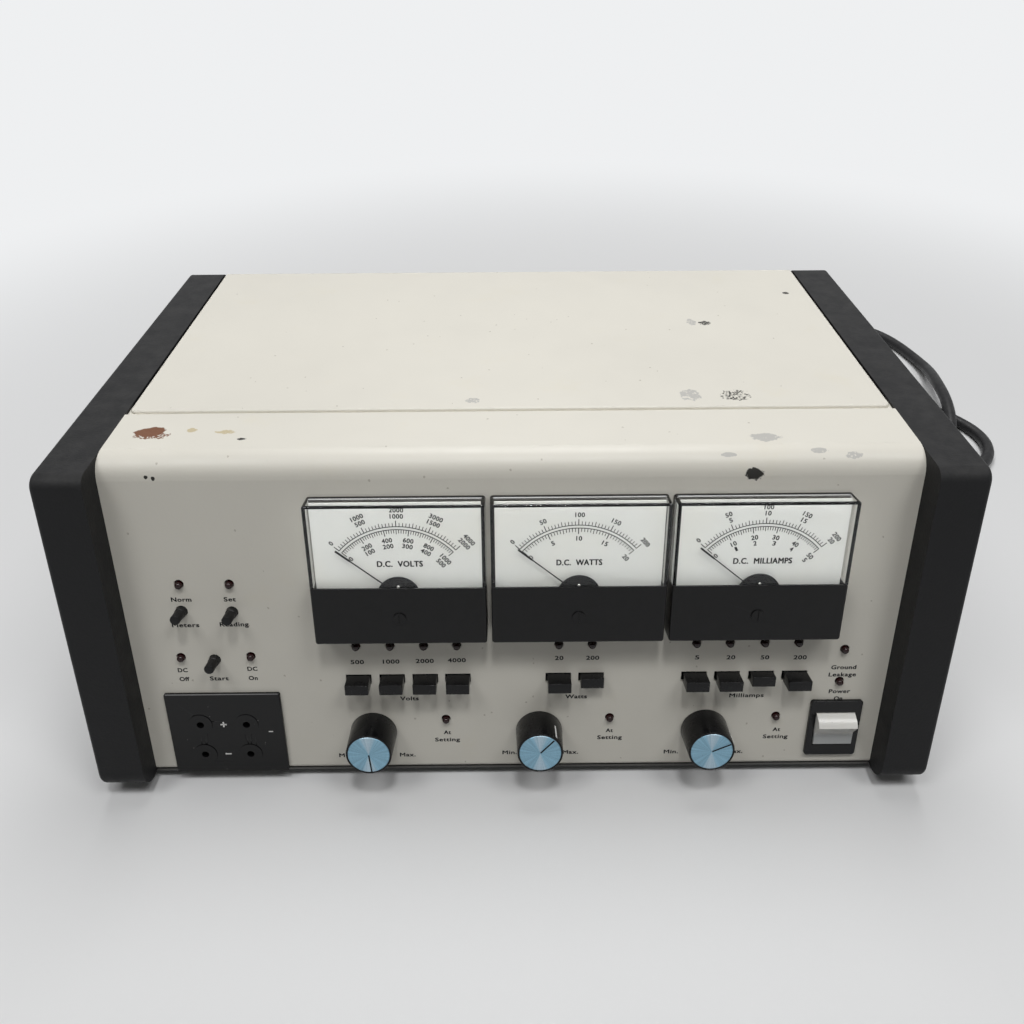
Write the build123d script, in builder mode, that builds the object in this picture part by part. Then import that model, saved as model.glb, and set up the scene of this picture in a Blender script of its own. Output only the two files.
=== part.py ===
from build123d import *
from math import atan2, ceil, cos, degrees, radians, sin, sqrt, tan
import os

# Electrophoresis power supply: a leaning sheet-metal case between two moulded side panels, with
# three analogue meters, push-button range switches, three control knobs, output sockets and a
# mains lead. Millimetres. X runs across, Y runs back, Z is up from the table.
os.makedirs("parts", exist_ok=True)

# Case
panel_width = 406.4
case_height = 179.5
case_depth = 290.5
lean = 15.0
sheet = 1.6
foot_height = 6.5
floor_sheet = 1.5
fit_gap = 0.3

# Bent front panel and top cover
lower_bend = 2.6
top_bend = 14.0
lower_flange = 22.0
notch_start = 3.6
seam_depth = 94.3
seam_gap = 1.0
joggle_run = 2.2
joggle_bend = 0.6
lip_depth = 10.0
cover_inset = 1.0
cover_drop = 14.0
cover_screw_drop = 7.1
cover_bend = 3.0
cover_corner = 3.0
cover_edge = 1.0

# Moulded side panels
side_thickness = 25.4
side_lead = 15.0
side_front_radius = 10.0
side_top_radius = 8.0
side_back_top_radius = 4.0
side_back_bottom_radius = 6.0
side_edge = 2.6
side_wall = 4.0
side_rib = 3.0
side_rib_count = 6
side_shelf_count = 2
side_pocket_start = 4.0
pocket_radius = 3.0
boss_radius = 6.0
boss_heights = (0.14, 0.84)
boss_top_front = 18.0
boss_low_front = 40.0
boss_back = 20.0

# Chassis
pan_setback = 1.0
pan_flange = 12.0
wall_back_radius = 1.0
rear_recess = 15.0
rear_flange = 12.0
rear_hook = 9.0
sheet_bend = 2.6
hook_bend = 1.2
vent_length = 44.0
vent_width = 4.0
vent_pitch = 9.0
vent_count = 9
floor_vent_front = 47.0
floor_vent_x = 101.6
rear_vent_height = 111.3
rear_vent_count = 27
foot_radius = 9.0
foot_toe_radius = 7.5
foot_recess_radius = 4.6
foot_recess = 3.2
foot_u = 172.0
foot_front = 34.0
foot_rear = 252.0

# Screws
screw_radius = 1.9
screw_length = 5.0
rear_screw_xs = (-150.0, -50.0, 50.0, 150.0)
floor_screw_xs = (-120.0, -40.0, 40.0, 120.0)
front_screw_row = 13.0
rear_screw_row = 7.0
screw_head_radius = 3.6
screw_head = 2.0
screw_slot = 0.9
boss_screw_length = 12.0
foot_screw_length = 9.0

# Meters
meter_pitch = 91.05
meter_middle_u = 33.6
meter_width = 88.9
meter_low = 89.0
meter_high = 166.3
meter_split = 121.3
meter_depth = 12.5
meter_base = 2.5
meter_wall = 1.8
meter_draft = 1.6
meter_corner = 1.6
meter_edge = 1.2
barrel_v = 121.6
barrel_radius = 31.0
barrel_wall = 2.0
barrel_depth = 38.0
barrel_gap = 0.8
meter_stud_radius = 2.5
meter_stud_length = 14.0
meter_stud_spread = 18.0
pivot_v = 115.4
dial_back = 4.5
dial_sheet = 0.8
dial_gap = 0.35
dial_low = 4.0
dial_high = 2.6
dial_post_u = 36.0
dial_post_radius = 2.4
dial_post_low = 106.0
dial_post_high = 152.0

# Moving-coil movement
magnet_radius = 20.0
magnet_bore = 13.4
magnet_back = 26.0
magnet_front = 8.0
core_radius = 8.6
core_arm = 4.0
coil_inner = 9.8
coil_outer = 11.8
coil_side = 5.0
coil_bar = 1.3
coil_gap = 0.9
movement_post_u = 16.2
movement_post_radius = 2.0
bridge_height = 5.0
bridge_sheet = 0.8
bridge_front = 8.7
bridge_disc = 11.2
rear_bridge = 31.0
spindle_radius = 0.6
jewel_radius = 0.65
hub_radius = 2.4
needle_level = 7.0
needle_sheet = 0.5
needle_length = 39.4
needle_width = 0.5
needle_tip_length = 9.0
needle_tip_width = 0.9
needle_tail = 8.0
needle_tail_width = 2.6
needle_rest = 51.0

# Zero screws
zero_v = 104.3
zero_head_radius = 3.2
zero_head = 0.65
zero_head_gap = 0.05
zero_shank_radius = 2.5
zero_bore_radius = 2.55
zero_collar_radius = 3.4
zero_collar = 0.8
zero_slot = 0.9
zero_slot_depth = 0.4
zero_pin_radius = 0.6
zero_pin_offset = 1.5
zero_pin_length = 1.0

# Knobs and controls
knob_spots = {"volts": (-77.7, 25.7), "watts": (14.3, 25.7), "milliamps": (106.3, 25.7)}
knob_pointers = {"volts": 175.0, "watts": 42.0, "milliamps": 65.0}
knob_height = 20.8
knob_base_radius = 12.5
knob_rim_radius = 11.9
knob_lift = 0.6
knob_line = 0.9
knob_line_depth = 0.35
knob_pocket_radius = 8.4
knob_pocket = 4.0
cap_radius = 11.3
cap_sheet = 1.0
cap_gap = 0.05
cap_line_depth = 0.2
shaft_radius = 3.175
shaft_bore_gap = 0.05
shaft_tip = 14.0
shaft_flat = 0.8
bushing_radius = 4.76
bushing_front = 3.6
control_nut = 2.2
control_nut_radius = 6.4
control_radius = 12.0
control_depth = 12.0
control_tag = 5.0
shaft_end_wall = 2.0
tag_width = 2.4
tag_sheet = 0.8
knob_edge = 0.5
set_screw_radius = 1.6
set_screw_height = 8.0

# Range buttons
range_v = 61.0
range_us = {
    "volts": (-83.7, -65.5, -47.6, -29.9),
    "watts": (24.6, 42.4),
    "milliamps": (98.3, 116.2, 134.8, 152.9),
}
range_values = {
    "volts": (500, 1000, 2000, 4000),
    "watts": (20, 200),
    "milliamps": (5, 20, 50, 200),
}
latched = ("watts_200", "milliamps_50")
key_width = 13.3
key_height = 8.0
key_tip_width = 12.0
key_tip_height = 6.3
key_out = 12.0
key_travel = 4.5
key_straight = 10.0
key_taper_length = 8.0
key_gap = 0.3
key_edge = 0.4
key_stem = 4.0
key_stem_length = 9.0
bank_front = 13.5
bank_depth = 16.0
bank_height = 17.0
bank_margin = 9.5
bank_foot = 2.4

# Push buttons
push_spots = {"meters": (-172.9, 102.9), "reading": (-146.6, 102.2), "start": (-159.8, 73.2)}
push_radius = 2.9
push_out = 10.5
push_travel = 1.8
push_edge = 0.7
push_gap = 0.3
push_collar_radius = 3.9
push_collar = 1.0
push_collar_play = 0.1
push_tail = 10.0
push_body = 13.0
push_body_front = 8.0
push_body_depth = 12.0
push_bushing_radius = 5.2

# Indicator lamps
lamp_radius = 2.45
lamp_straight = 0.9
lamp_flange = 2.95
lamp_flange_sheet = 1.0
lamp_back = 6.0
lamp_gap = 0.05
lamp_dome = 0.97
range_lamp_v = 80.8
lamp_spots = [
    (-171.9, 118.7),
    (-146.0, 118.6),
    (-177.6, 75.0),
    (-140.3, 75.2),
    (-37.3, 33.7),
    (53.5, 33.7),
    (145.9, 33.7),
    (178.1, 76.3),
    (178.1, 56.1),
]

# Output sockets
plate_u = -158.9
plate_v = 26.4
plate_width = 63.2
plate_height = 51.8
plate_sheet = 2.0
plate_corner = 1.0
plate_edge = 0.4
socket_shift = -1.3
socket_spread = 25.4
socket_row = 19.8
socket_lift = -3.8
socket_radius = 5.5
socket_gap = 0.1
socket_bore = 2.0
socket_bore_depth = 20.0
socket_flange = 6.5
socket_flange_sheet = 0.4
socket_depth = 22.0
socket_nut = 3.0
socket_nut_radius = 7.6
socket_tag = 6.0
socket_tag_radius = 1.4

# Power switch
switch_u = 178.4
switch_v = 26.0
switch_width = 28.5
switch_height = 36.0
switch_sheet = 2.0
switch_corner = 1.5
switch_edge = 0.5
housing_width = 25.8
housing_height = 29.0
housing_depth = 22.0
housing_gap = 0.2
rocker_width = 21.2
rocker_radius = 10.5
rocker_gap = 0.35
rocker_pivot = -1.25
rocker_valley = 4.9
rocker_corner_angle = 44.7
rocker_back_angle = 118.0
rocker_tilt = 20.0
rocker_pin_radius = 1.5
rocker_pin_gap = 0.05
rocker_pin_length = 1.9
switch_tag_u = 6.0
switch_tag = 8.0
switch_tag_width = 6.3

# Rear fittings
gland_x = 60.0
gland_height = 30.0
gland_flange = 10.5
gland_flange_sheet = 3.5
gland_body = 7.5
gland_reach = 24.5
gland_inside = 9.0
gland_nut = 4.0
gland_nut_radius = 10.0
gland_taper = 3.0
gland_rib = 1.7
gland_rib_count = 5
gland_rib_floor = 0.6
fuse_x = 108.0
fuse_height = 30.0
fuse_body = 6.5
fuse_inside = 34.0
fuse_flange = 9.0
fuse_flange_sheet = 2.0
fuse_cap = 7.0
fuse_cap_reach = 9.0

# Inside
board_width = 190.0
board_length = 130.0
board_sheet = 1.6
board_lift = 10.0
board_x = -78.0
board_back = 168.0
pillar_radius = 3.0
capacitor_edge = 8.0
capacitor_radius = 12.5
capacitor_height = 42.0
capacitor_pitch = 30.0
capacitor_count = 4
sink_width = 90.0
sink_height = 46.0
sink_base = 4.0
sink_fin = 2.0
sink_fin_depth = 22.0
sink_fin_pitch = 8.0
relay_size = 16.0
relay_length = 24.0
relay_xs = (-48.0, -24.0, 24.0, 48.0)
mains_x = 125.0
mains_back = 205.0
core_width = 76.0
core_height = 64.0
core_stack = 38.0
winding_bulge = 14.0
core_leg = 13.0
bracket_width = 104.0
bracket_sheet = 2.0
winding_corner = 4.0
potted_corner = 3.0
potted_x = 118.0
potted_back = 122.0
potted_width = 72.0
potted_length = 58.0
potted_height = 56.0
potted_draft = 2.0
potted_post_radius = 4.0
potted_post = 9.0
potted_post_x = 18.0

# Mains lead: the route's points are chosen by hand from the gland to the coil
cord_radius = 5.0
cord_route = [
    (60.0, 201.0, 38.0),
    (64.0, 247.0, 18.0),
    (78.0, 295.0, 5.0),
    (112.0, 345.0, 5.0),
    (166.0, 383.0, 5.0),
    (232.0, 408.0, 5.0),
    (300.0, 429.0, 5.0),
    (349.0, 455.0, 5.0),
    (393.0, 450.0, 5.0),
    (422.0, 419.0, 5.0),
    (434.0, 350.0, 6.0),
    (419.0, 299.0, 19.5),
    (411.0, 247.0, 19.5),
    (400.0, 204.0, 5.0),
    (359.0, 179.0, 5.0),
    (311.0, 189.0, 5.0),
    (285.0, 229.0, 5.0),
    (294.0, 274.0, 5.0),
    (328.0, 299.0, 5.0),
    (366.0, 299.0, 5.0),
    (397.0, 275.0, 5.0),
    (427.0, 233.0, 5.0),
    (431.0, 203.0, 5.0),
    (419.0, 175.0, 5.0),
    (387.0, 151.0, 5.0),
    (338.0, 151.0, 5.0),
    (285.0, 163.0, 5.0),
    (240.0, 178.0, 5.0),
    (195.0, 178.0, 5.0),
]
run_share = 0.45

# Coil of spare lead behind the case
coil_radius = 60.0
coil_step = 5.5
coil_climb_radius = 50.0
coil_lift = 10.5
coil_exit_radius = 70.0
coil_end = 10.0

# Mains plug
plug_radius = 15.5
plug_neck_radius = 7.0
plug_neck = 16.0
plug_body = 34.0
plug_edge = 3.0
blade_width = 6.35
blade_sheet = 1.6
blade_length = 17.5
blade_spread = 6.35
earth_radius = 2.4
earth_length = 20.5
earth_drop = 11.9
blade_rise = 4.0

# Frame of the leaning panel: X across, Y up the panel, Z out of it
cos_lean = cos(radians(lean))
sin_lean = sin(radians(lean))
tan_lean = tan(radians(lean))
lowest_rim = knob_spots["volts"][1] - knob_rim_radius
front_reach = knob_height * cos_lean - lowest_rim * sin_lean
case_front = (front_reach - case_depth) / 2
case_back = case_front + case_depth
case_bottom = foot_height + floor_sheet
case_top = case_bottom + case_height
rear_face = case_back - rear_recess
seam_y = case_front + seam_depth
pan_top = case_height - 2 * sheet - fit_gap
panel = Plane(origin=(0, case_front, case_bottom), x_dir=(1, 0, 0), z_dir=(0, -cos_lean, sin_lean))
panel_axis = Axis(panel.origin, panel.z_dir)

meter_us = {
    "volts": meter_middle_u - meter_pitch,
    "watts": meter_middle_u,
    "milliamps": meter_middle_u + meter_pitch,
}
range_spots = [(u, range_v) for row in range_us.values() for u in row]
all_lamp_spots = lamp_spots + [(u, range_lamp_v) for u, v in range_spots]
socket_spots = [
    (plate_u + socket_shift + side * socket_spread / 2, plate_v + socket_lift + level * socket_row / 2)
    for level in (1, -1)
    for side in (-1, 1)
]


def lean_y(height, out=0.0):
    """Y of a line parallel to the front panel and `out` in front of it, at a height in the case."""
    return case_front + height * tan_lean - out / cos_lean


def upright(u, v, d):
    """Plane across the panel: local x up the panel, local y out of it, normal along X."""
    corner = panel.from_local_coords(Vector(u, v, d))
    return Plane(origin=corner, x_dir=panel.y_dir, z_dir=(1, 0, 0))


def turned(u, v, angle):
    """Plane on the panel at a spot, its local y turned clockwise from straight up the panel."""
    across = panel.x_dir * cos(radians(angle)) - panel.y_dir * sin(radians(angle))
    return Plane(origin=panel.from_local_coords(Vector(u, v, 0)), x_dir=across, z_dir=panel.z_dir)


def rods(base, radius, start, end, spots=((0, 0),), mode=Mode.ADD):
    """Round rods or bores standing on a plane, from one level to another."""
    with BuildSketch(base.offset(start)) as outline:
        with Locations(*spots):
            Circle(radius)
    extrude(outline.sketch, amount=end - start, mode=mode)


def blocks(base, width, height, start, end, spots=((0, 0),), corner=0.0, mode=Mode.ADD):
    """Rectangular blocks or windows standing on a plane, with rounded corners if wanted."""
    with BuildSketch(base.offset(start)) as outline:
        with Locations(*spots):
            if corner:
                RectangleRounded(width, height, corner)
            else:
                Rectangle(width, height)
    extrude(outline.sketch, amount=end - start, mode=mode)


def nuts(base, radius, start, end, spots=((0, 0),)):
    """Hexagon nuts standing on a plane."""
    with BuildSketch(base.offset(start)) as outline:
        with Locations(*spots):
            RegularPolygon(radius, 6)
    extrude(outline.sketch, amount=end - start)


def screws(base, length, spots, mode=Mode.ADD):
    """Slotted screws whose heads sit on the plane and whose shanks go below it."""
    rods(base, screw_radius, -length, 0, spots)
    rods(base, screw_head_radius, 0, screw_head, spots)
    blocks(base, 2 * screw_head_radius, screw_slot, screw_head / 2, screw_head, spots, 0, Mode.SUBTRACT)


def side_spots():
    """Where the screws join the chassis to a side panel, as Y and Z."""
    low, high = (case_bottom + share * case_height for share in boss_heights)
    back = rear_face - boss_back
    return [(lean_y(case_height) + boss_top_front, high), (back, high), (case_front + boss_low_front, low),
            (back, low)]


rear_screw_spots = [(x, 0) for x in rear_screw_xs]
floor_screw_spots = [
    (x, y)
    for x in floor_screw_xs
    for y in (case_front + front_screw_row, rear_face - rear_screw_row)
]
foot_spots = [(x, case_front + y) for x in (-foot_u, foot_u) for y in (foot_front, foot_rear)]

# Front panel: one sheet bent back under the case, leaning, and over the top to the seam
with BuildPart() as front_panel:
    with BuildSketch(Plane.YZ.offset(-panel_width / 2)):
        with BuildLine():
            FilletPolyline(
                (case_front + lower_flange, case_bottom),
                (case_front, case_bottom),
                (lean_y(case_height), case_top),
                (seam_y - joggle_run, case_top),
                (seam_y, case_top - sheet),
                (seam_y + lip_depth, case_top - sheet),
                radius=[lower_bend, top_bend, joggle_bend, joggle_bend],
            )
            offset(amount=sheet, side=Side.RIGHT)
        make_face()
    extrude(amount=panel_width)
    # The lower flange stops short of the chassis walls
    notch = floor_sheet + 2 * fit_gap
    notch_spots = [(side * (panel_width - notch) / 2, case_front + lower_flange) for side in (-1, 1)]
    blocks(
        Plane.XY.offset(case_bottom), notch, 2 * (lower_flange - notch_start), 0, 2 * sheet,
        notch_spots, 0, Mode.SUBTRACT,
    )
    with BuildSketch(panel.offset(-3 * sheet)):
        with Locations(*[(u, barrel_v) for u in meter_us.values()]):
            Circle(barrel_radius + barrel_gap)
        with Locations(*knob_spots.values()):
            Circle(bushing_radius + cap_gap)
        with Locations(*range_spots):
            Rectangle(key_width + 2 * key_gap, key_height + 2 * key_gap)
        with Locations(*push_spots.values()):
            Circle(push_radius + push_gap)
        with Locations(*all_lamp_spots):
            Circle(lamp_radius + lamp_gap)
        with Locations(*socket_spots):
            Circle(socket_radius + socket_gap)
        with Locations((switch_u, switch_v)):
            Rectangle(housing_width + 2 * housing_gap, housing_height + 2 * housing_gap)
    extrude(amount=4 * sheet, mode=Mode.SUBTRACT)
    rods(Plane.XY.offset(case_bottom), screw_radius, 0, sheet,
         [spot for spot in floor_screw_spots if spot[1] < 0], Mode.SUBTRACT)
front_panel.part.label = "front_panel"
export_step(front_panel.part, "parts/front_panel.step")

# Top cover: flat sheet turned down at the back, screwed to the rear panel's hook
cover_front = seam_y + seam_gap
cover_width = panel_width - 2 * cover_inset
hook_plane = Plane(origin=(0, case_back, case_top - cover_screw_drop), x_dir=(-1, 0, 0), z_dir=(0, 1, 0))
with BuildPart() as top_cover:
    with BuildSketch(Plane.YZ.offset(-cover_width / 2)):
        with BuildLine():
            FilletPolyline(
                (cover_front, case_top),
                (case_back, case_top),
                (case_back, case_top - cover_drop),
                radius=[cover_bend],
            )
            offset(amount=sheet, side=Side.RIGHT)
        make_face()
    extrude(amount=cover_width)
    fillet(top_cover.edges().filter_by(Axis.Z).group_by(Axis.Y)[0], cover_corner)
    front_edge = top_cover.edges().filter_by(Axis.X).group_by(Axis.Y)[0].sort_by(Axis.Z)[-1]
    fillet(front_edge, cover_edge)
    rods(hook_plane, screw_radius, -sheet, 0, rear_screw_spots, Mode.SUBTRACT)
top_cover.part.label = "top_cover"
export_step(top_cover.part, "parts/top_cover.step")

# Bottom pan: the chassis floor with two side walls, turned in along the top
with BuildPart() as bottom_pan:
    floor_length = rear_face - case_front - pan_setback
    floor_middle = (rear_face + case_front + pan_setback) / 2
    blocks(Plane.XY.offset(case_bottom), panel_width, floor_length, -floor_sheet, 0, [(0, floor_middle)])
    for side in (-1, 1):
        with BuildSketch(Plane.YZ.offset(side * panel_width / 2)):
            with BuildLine():
                FilletPolyline(
                    (lean_y(0, -sheet - fit_gap) + lower_bend, case_bottom),
                    (lean_y(0, -sheet - fit_gap) + lower_bend, case_bottom + lower_bend),
                    (lean_y(pan_top, -sheet - fit_gap), case_bottom + pan_top),
                    (rear_face, case_bottom + pan_top),
                    (rear_face, case_bottom),
                    radius=[wall_back_radius, top_bend - sheet - fit_gap, wall_back_radius],
                )
                Line((rear_face, case_bottom), (lean_y(0, -sheet - fit_gap) + lower_bend, case_bottom))
            make_face()
        extrude(amount=-side * floor_sheet)
        flange_front = lean_y(pan_top) + top_bend
        flange_back = rear_face - sheet - fit_gap
        with BuildSketch(Plane.XY.offset(case_bottom + pan_top)):
            with Locations((side * (panel_width - pan_flange) / 2, (flange_front + flange_back) / 2)):
                Rectangle(pan_flange, flange_back - flange_front)
        extrude(amount=-floor_sheet)
    vent_spots = [
        (x + (index - (vent_count - 1) / 2) * vent_pitch, case_front + floor_vent_front)
        for x in (-floor_vent_x, floor_vent_x)
        for index in range(vent_count)
    ]
    with BuildSketch(Plane.XY.offset(case_bottom - floor_sheet)):
        with Locations(*vent_spots):
            SlotOverall(vent_length, vent_width, rotation=90)
    extrude(amount=floor_sheet, mode=Mode.SUBTRACT)
    under = Plane.XY.offset(case_bottom)
    rods(under, screw_radius, -floor_sheet, 0, floor_screw_spots + foot_spots, Mode.SUBTRACT)
    for side in (-1, 1):
        wall = Plane.YZ.offset(side * panel_width / 2)
        rods(wall, screw_radius, 0, -side * floor_sheet, side_spots(), Mode.SUBTRACT)
bottom_pan.part.label = "bottom_pan"
export_step(bottom_pan.part, "parts/bottom_pan.step")

# Rear panel: stands on the pan, turns back under the cover and hooks down behind it
rear_width = panel_width - 2 * (floor_sheet + fit_gap)
rear_plane = Plane(origin=(0, rear_face, case_bottom), x_dir=(-1, 0, 0), z_dir=(0, 1, 0))
with BuildPart() as rear_panel:
    with BuildSketch(Plane.YZ.offset(-rear_width / 2)):
        with BuildLine():
            FilletPolyline(
                (rear_face - rear_flange, case_bottom),
                (rear_face, case_bottom),
                (rear_face, case_top - 2 * sheet),
                (case_back - 2 * sheet, case_top - 2 * sheet),
                (case_back - 2 * sheet, case_top - 2 * sheet - rear_hook),
                radius=[sheet_bend, hook_bend, hook_bend],
            )
            offset(amount=sheet, side=Side.LEFT)
        make_face()
    extrude(amount=rear_width)
    with BuildSketch(rear_plane.offset(-sheet)):
        with Locations((-gland_x, gland_height)):
            Circle(gland_body)
        with Locations((-fuse_x, fuse_height)):
            Circle(fuse_body)
        with Locations((0, rear_vent_height)):
            with GridLocations(vent_pitch, vent_length, rear_vent_count, 1):
                SlotOverall(vent_length, vent_width, rotation=90)
    extrude(amount=sheet, mode=Mode.SUBTRACT)
    rods(hook_plane, screw_radius, -2 * sheet, -sheet, rear_screw_spots, Mode.SUBTRACT)
    rods(under, screw_radius, 0, sheet, [spot for spot in floor_screw_spots if spot[1] > 0], Mode.SUBTRACT)
rear_panel.part.label = "rear_panel"
export_step(rear_panel.part, "parts/rear_panel.step")

# Side panels: hollow mouldings, ribbed on the inside, standing ahead of the front panel
pocket_depth = side_thickness - side_wall
pocket_top = case_height - side_wall
pocket_back = rear_face - side_wall
with BuildPart() as side_panel_right:
    with BuildSketch(Plane.YZ.offset(panel_width / 2)):
        with BuildLine():
            FilletPolyline(
                (lean_y(0, side_lead), case_bottom),
                (lean_y(case_height, side_lead), case_top),
                (case_back, case_top),
                (case_back, case_bottom),
                radius=[side_front_radius, side_top_radius, side_back_top_radius, side_back_bottom_radius],
                close=True,
            )
        make_face()
    extrude(amount=side_thickness)
    fillet(side_panel_right.faces().sort_by(Axis.X)[-1].edges(), side_edge)
    with BuildSketch(Plane.YZ.offset(panel_width / 2)):
        with BuildLine():
            FilletPolyline(
                (lean_y(side_wall, -side_pocket_start), case_bottom + side_wall),
                (lean_y(pocket_top, -side_pocket_start), case_bottom + pocket_top),
                (pocket_back, case_bottom + pocket_top),
                (pocket_back, case_bottom + side_wall),
                radius=pocket_radius,
                close=True,
            )
        make_face()
        for index in range(side_rib_count):
            rib_y = case_front + (index + 1) * case_depth / (side_rib_count + 1)
            with Locations((rib_y, case_bottom + case_height / 2)):
                Rectangle(side_rib, case_height, mode=Mode.SUBTRACT)
        for index in range(side_shelf_count):
            shelf_z = case_bottom + (index + 1) * case_height / (side_shelf_count + 1)
            with Locations((case_front + case_depth / 2, shelf_z)):
                Rectangle(case_depth, side_rib, mode=Mode.SUBTRACT)
        with Locations(*side_spots()):
            Circle(boss_radius, mode=Mode.SUBTRACT)
    extrude(amount=pocket_depth, mode=Mode.SUBTRACT)
    rods(Plane.YZ.offset(panel_width / 2), screw_radius, 0, boss_screw_length, side_spots(), Mode.SUBTRACT)
side_panel_right.part.label = "side_panel_right"
export_step(side_panel_right.part, "parts/side_panel_right.step")

with BuildPart() as side_panel_left:
    mirror(side_panel_right.part, about=Plane.YZ)
side_panel_left.part.label = "side_panel_left"
export_step(side_panel_left.part, "parts/side_panel_left.step")

# Feet: tapered rubber, each held by a screw in a recess
foot_taper = degrees(atan2(foot_radius - foot_toe_radius, foot_height))
with BuildPart() as feet:
    with BuildSketch(Plane.XY.offset(foot_height)):
        with Locations(*foot_spots):
            Circle(foot_radius)
    extrude(amount=-foot_height, taper=foot_taper)
    rods(Plane.XY, foot_recess_radius, 0, foot_recess, foot_spots, Mode.SUBTRACT)
    rods(Plane.XY, screw_radius, foot_recess, foot_height, foot_spots, Mode.SUBTRACT)
feet.part.label = "feet"
export_step(feet.part, "parts/feet.step")

# Meters: a black case with a barrel behind the panel and a hollow lower front
meter_middle_v = (meter_low + meter_high) / 2
meter_tall = meter_high - meter_low
dial_post_spots = [(side * dial_post_u, v) for side in (-1, 1) for v in (dial_post_low, dial_post_high)]


def meter_shell(shell, u):
    """Drafted hollow block in front of a meter's base, with rounded front edges."""
    spot = [(u, meter_middle_v)]
    with BuildSketch(panel.offset(meter_base)) as outside:
        with Locations(*spot):
            RectangleRounded(meter_width, meter_tall, meter_corner)
    extrude(outside.sketch, amount=meter_depth - meter_base, taper=meter_draft)
    fillet(shell.faces().sort_by(panel_axis)[-1].edges(), meter_edge)
    with BuildSketch(panel.offset(meter_base)) as inside:
        with Locations(*spot):
            Rectangle(meter_width - 2 * meter_wall, meter_tall - 2 * meter_wall)
    hollow = meter_depth - meter_base - meter_wall
    extrude(inside.sketch, amount=hollow, taper=meter_draft, mode=Mode.SUBTRACT)


def cut_share(u, v):
    """Takes away the half of a meter's shell that stands about a height, up to the meter's other half."""
    blocks(panel, 2 * meter_width, meter_tall, meter_base, 2 * meter_depth, [(u, v)], 0, Mode.SUBTRACT)


def around(u, v, spots):
    """Spots given from a centre, moved to that centre on the panel."""
    return [(u + x, v + y) for x, y in spots]


for name, u in meter_us.items():
    with BuildPart() as meter_case:
        meter_shell(meter_case, u)
        cut_share(u, meter_split + meter_tall / 2)
        blocks(panel, meter_width, meter_tall, 0, meter_base, [(u, meter_middle_v)], meter_corner)
        rods(panel, barrel_radius, -barrel_depth, 0, [(u, barrel_v)])
        rods(panel, barrel_radius - barrel_wall, barrel_wall - barrel_depth, meter_base, [(u, barrel_v)],
             Mode.SUBTRACT)
        rods(panel, dial_post_radius, meter_base, dial_back, around(u, 0, dial_post_spots))
        rods(panel, zero_bore_radius, meter_depth - 2 * meter_wall, meter_depth, [(u, zero_v)],
             Mode.SUBTRACT)
        stud_spots = [(u - meter_stud_spread, barrel_v), (u + meter_stud_spread, barrel_v)]
        rods(panel, meter_stud_radius, -barrel_depth - meter_stud_length, -barrel_depth, stud_spots)
    meter_case.part.label = f"{name}_meter_case"
    export_step(meter_case.part, f"parts/{name}_meter_case.step")

    # Clear window over the dial, seated on the case's base
    with BuildPart() as meter_window:
        meter_shell(meter_window, u)
        cut_share(u, meter_split - meter_tall / 2)
    meter_window.part.label = f"{name}_meter_window"
    export_step(meter_window.part, f"parts/{name}_meter_window.step")

    # Needle with its moving coil, spindles, hub and balance tail
    spot = turned(u, pivot_v, -needle_rest)
    coil_front = coil_gap + coil_bar - magnet_front
    coil_back = -magnet_back - coil_gap - coil_bar
    with BuildPart() as needle:
        coil_width = coil_outer - coil_inner
        side_spot = (coil_inner + coil_outer) / 2
        blocks(spot, coil_width, coil_side, coil_back, coil_front, [(-side_spot, 0), (side_spot, 0)])
        blocks(spot, 2 * coil_outer, coil_side, coil_front - coil_bar, coil_front)
        blocks(spot, 2 * coil_outer, coil_side, coil_back, coil_back + coil_bar)
        rods(spot, spindle_radius, coil_front, bridge_front + bridge_sheet)
        rods(spot, spindle_radius, -rear_bridge, coil_back)
        rods(spot, hub_radius, needle_level - needle_sheet, needle_level + 2 * needle_sheet)
        needle_top = needle_level + needle_sheet
        stem = needle_length - needle_tip_length
        blocks(spot, needle_width, stem, needle_level, needle_top, [(0, stem / 2)])
        tip_spot = [(0, needle_length - needle_tip_length / 2)]
        blocks(spot, needle_tip_width, needle_tip_length, needle_level, needle_top, tip_spot)
        blocks(spot, needle_tail_width, needle_tail, needle_level, needle_top, [(0, -needle_tail / 2)])
    needle.part.label = f"{name}_meter_needle"
    export_step(needle.part, f"parts/{name}_meter_needle.step")

    # Zero screw through the case's front wall, with an eccentric pin behind
    spot = turned(u, zero_v, 0)
    with BuildPart() as zero_screw:
        head_back = meter_depth + zero_head_gap
        wall_back = meter_depth - meter_wall - zero_head_gap
        rods(spot, zero_head_radius, head_back, head_back + zero_head)
        rods(spot, zero_shank_radius, wall_back - zero_collar, head_back)
        rods(spot, zero_collar_radius, wall_back - zero_collar, wall_back)
        rods(spot, zero_pin_radius, wall_back - zero_collar - zero_pin_length, wall_back - zero_collar,
             [(0, zero_pin_offset)])
        blocks(spot, zero_slot, 2 * zero_head_radius, head_back + zero_head - zero_slot_depth,
               head_back + zero_head, [(0, 0)], 0, Mode.SUBTRACT)
    zero_screw.part.label = f"{name}_zero_screw"
    export_step(zero_screw.part, f"parts/{name}_zero_screw.step")

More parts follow.
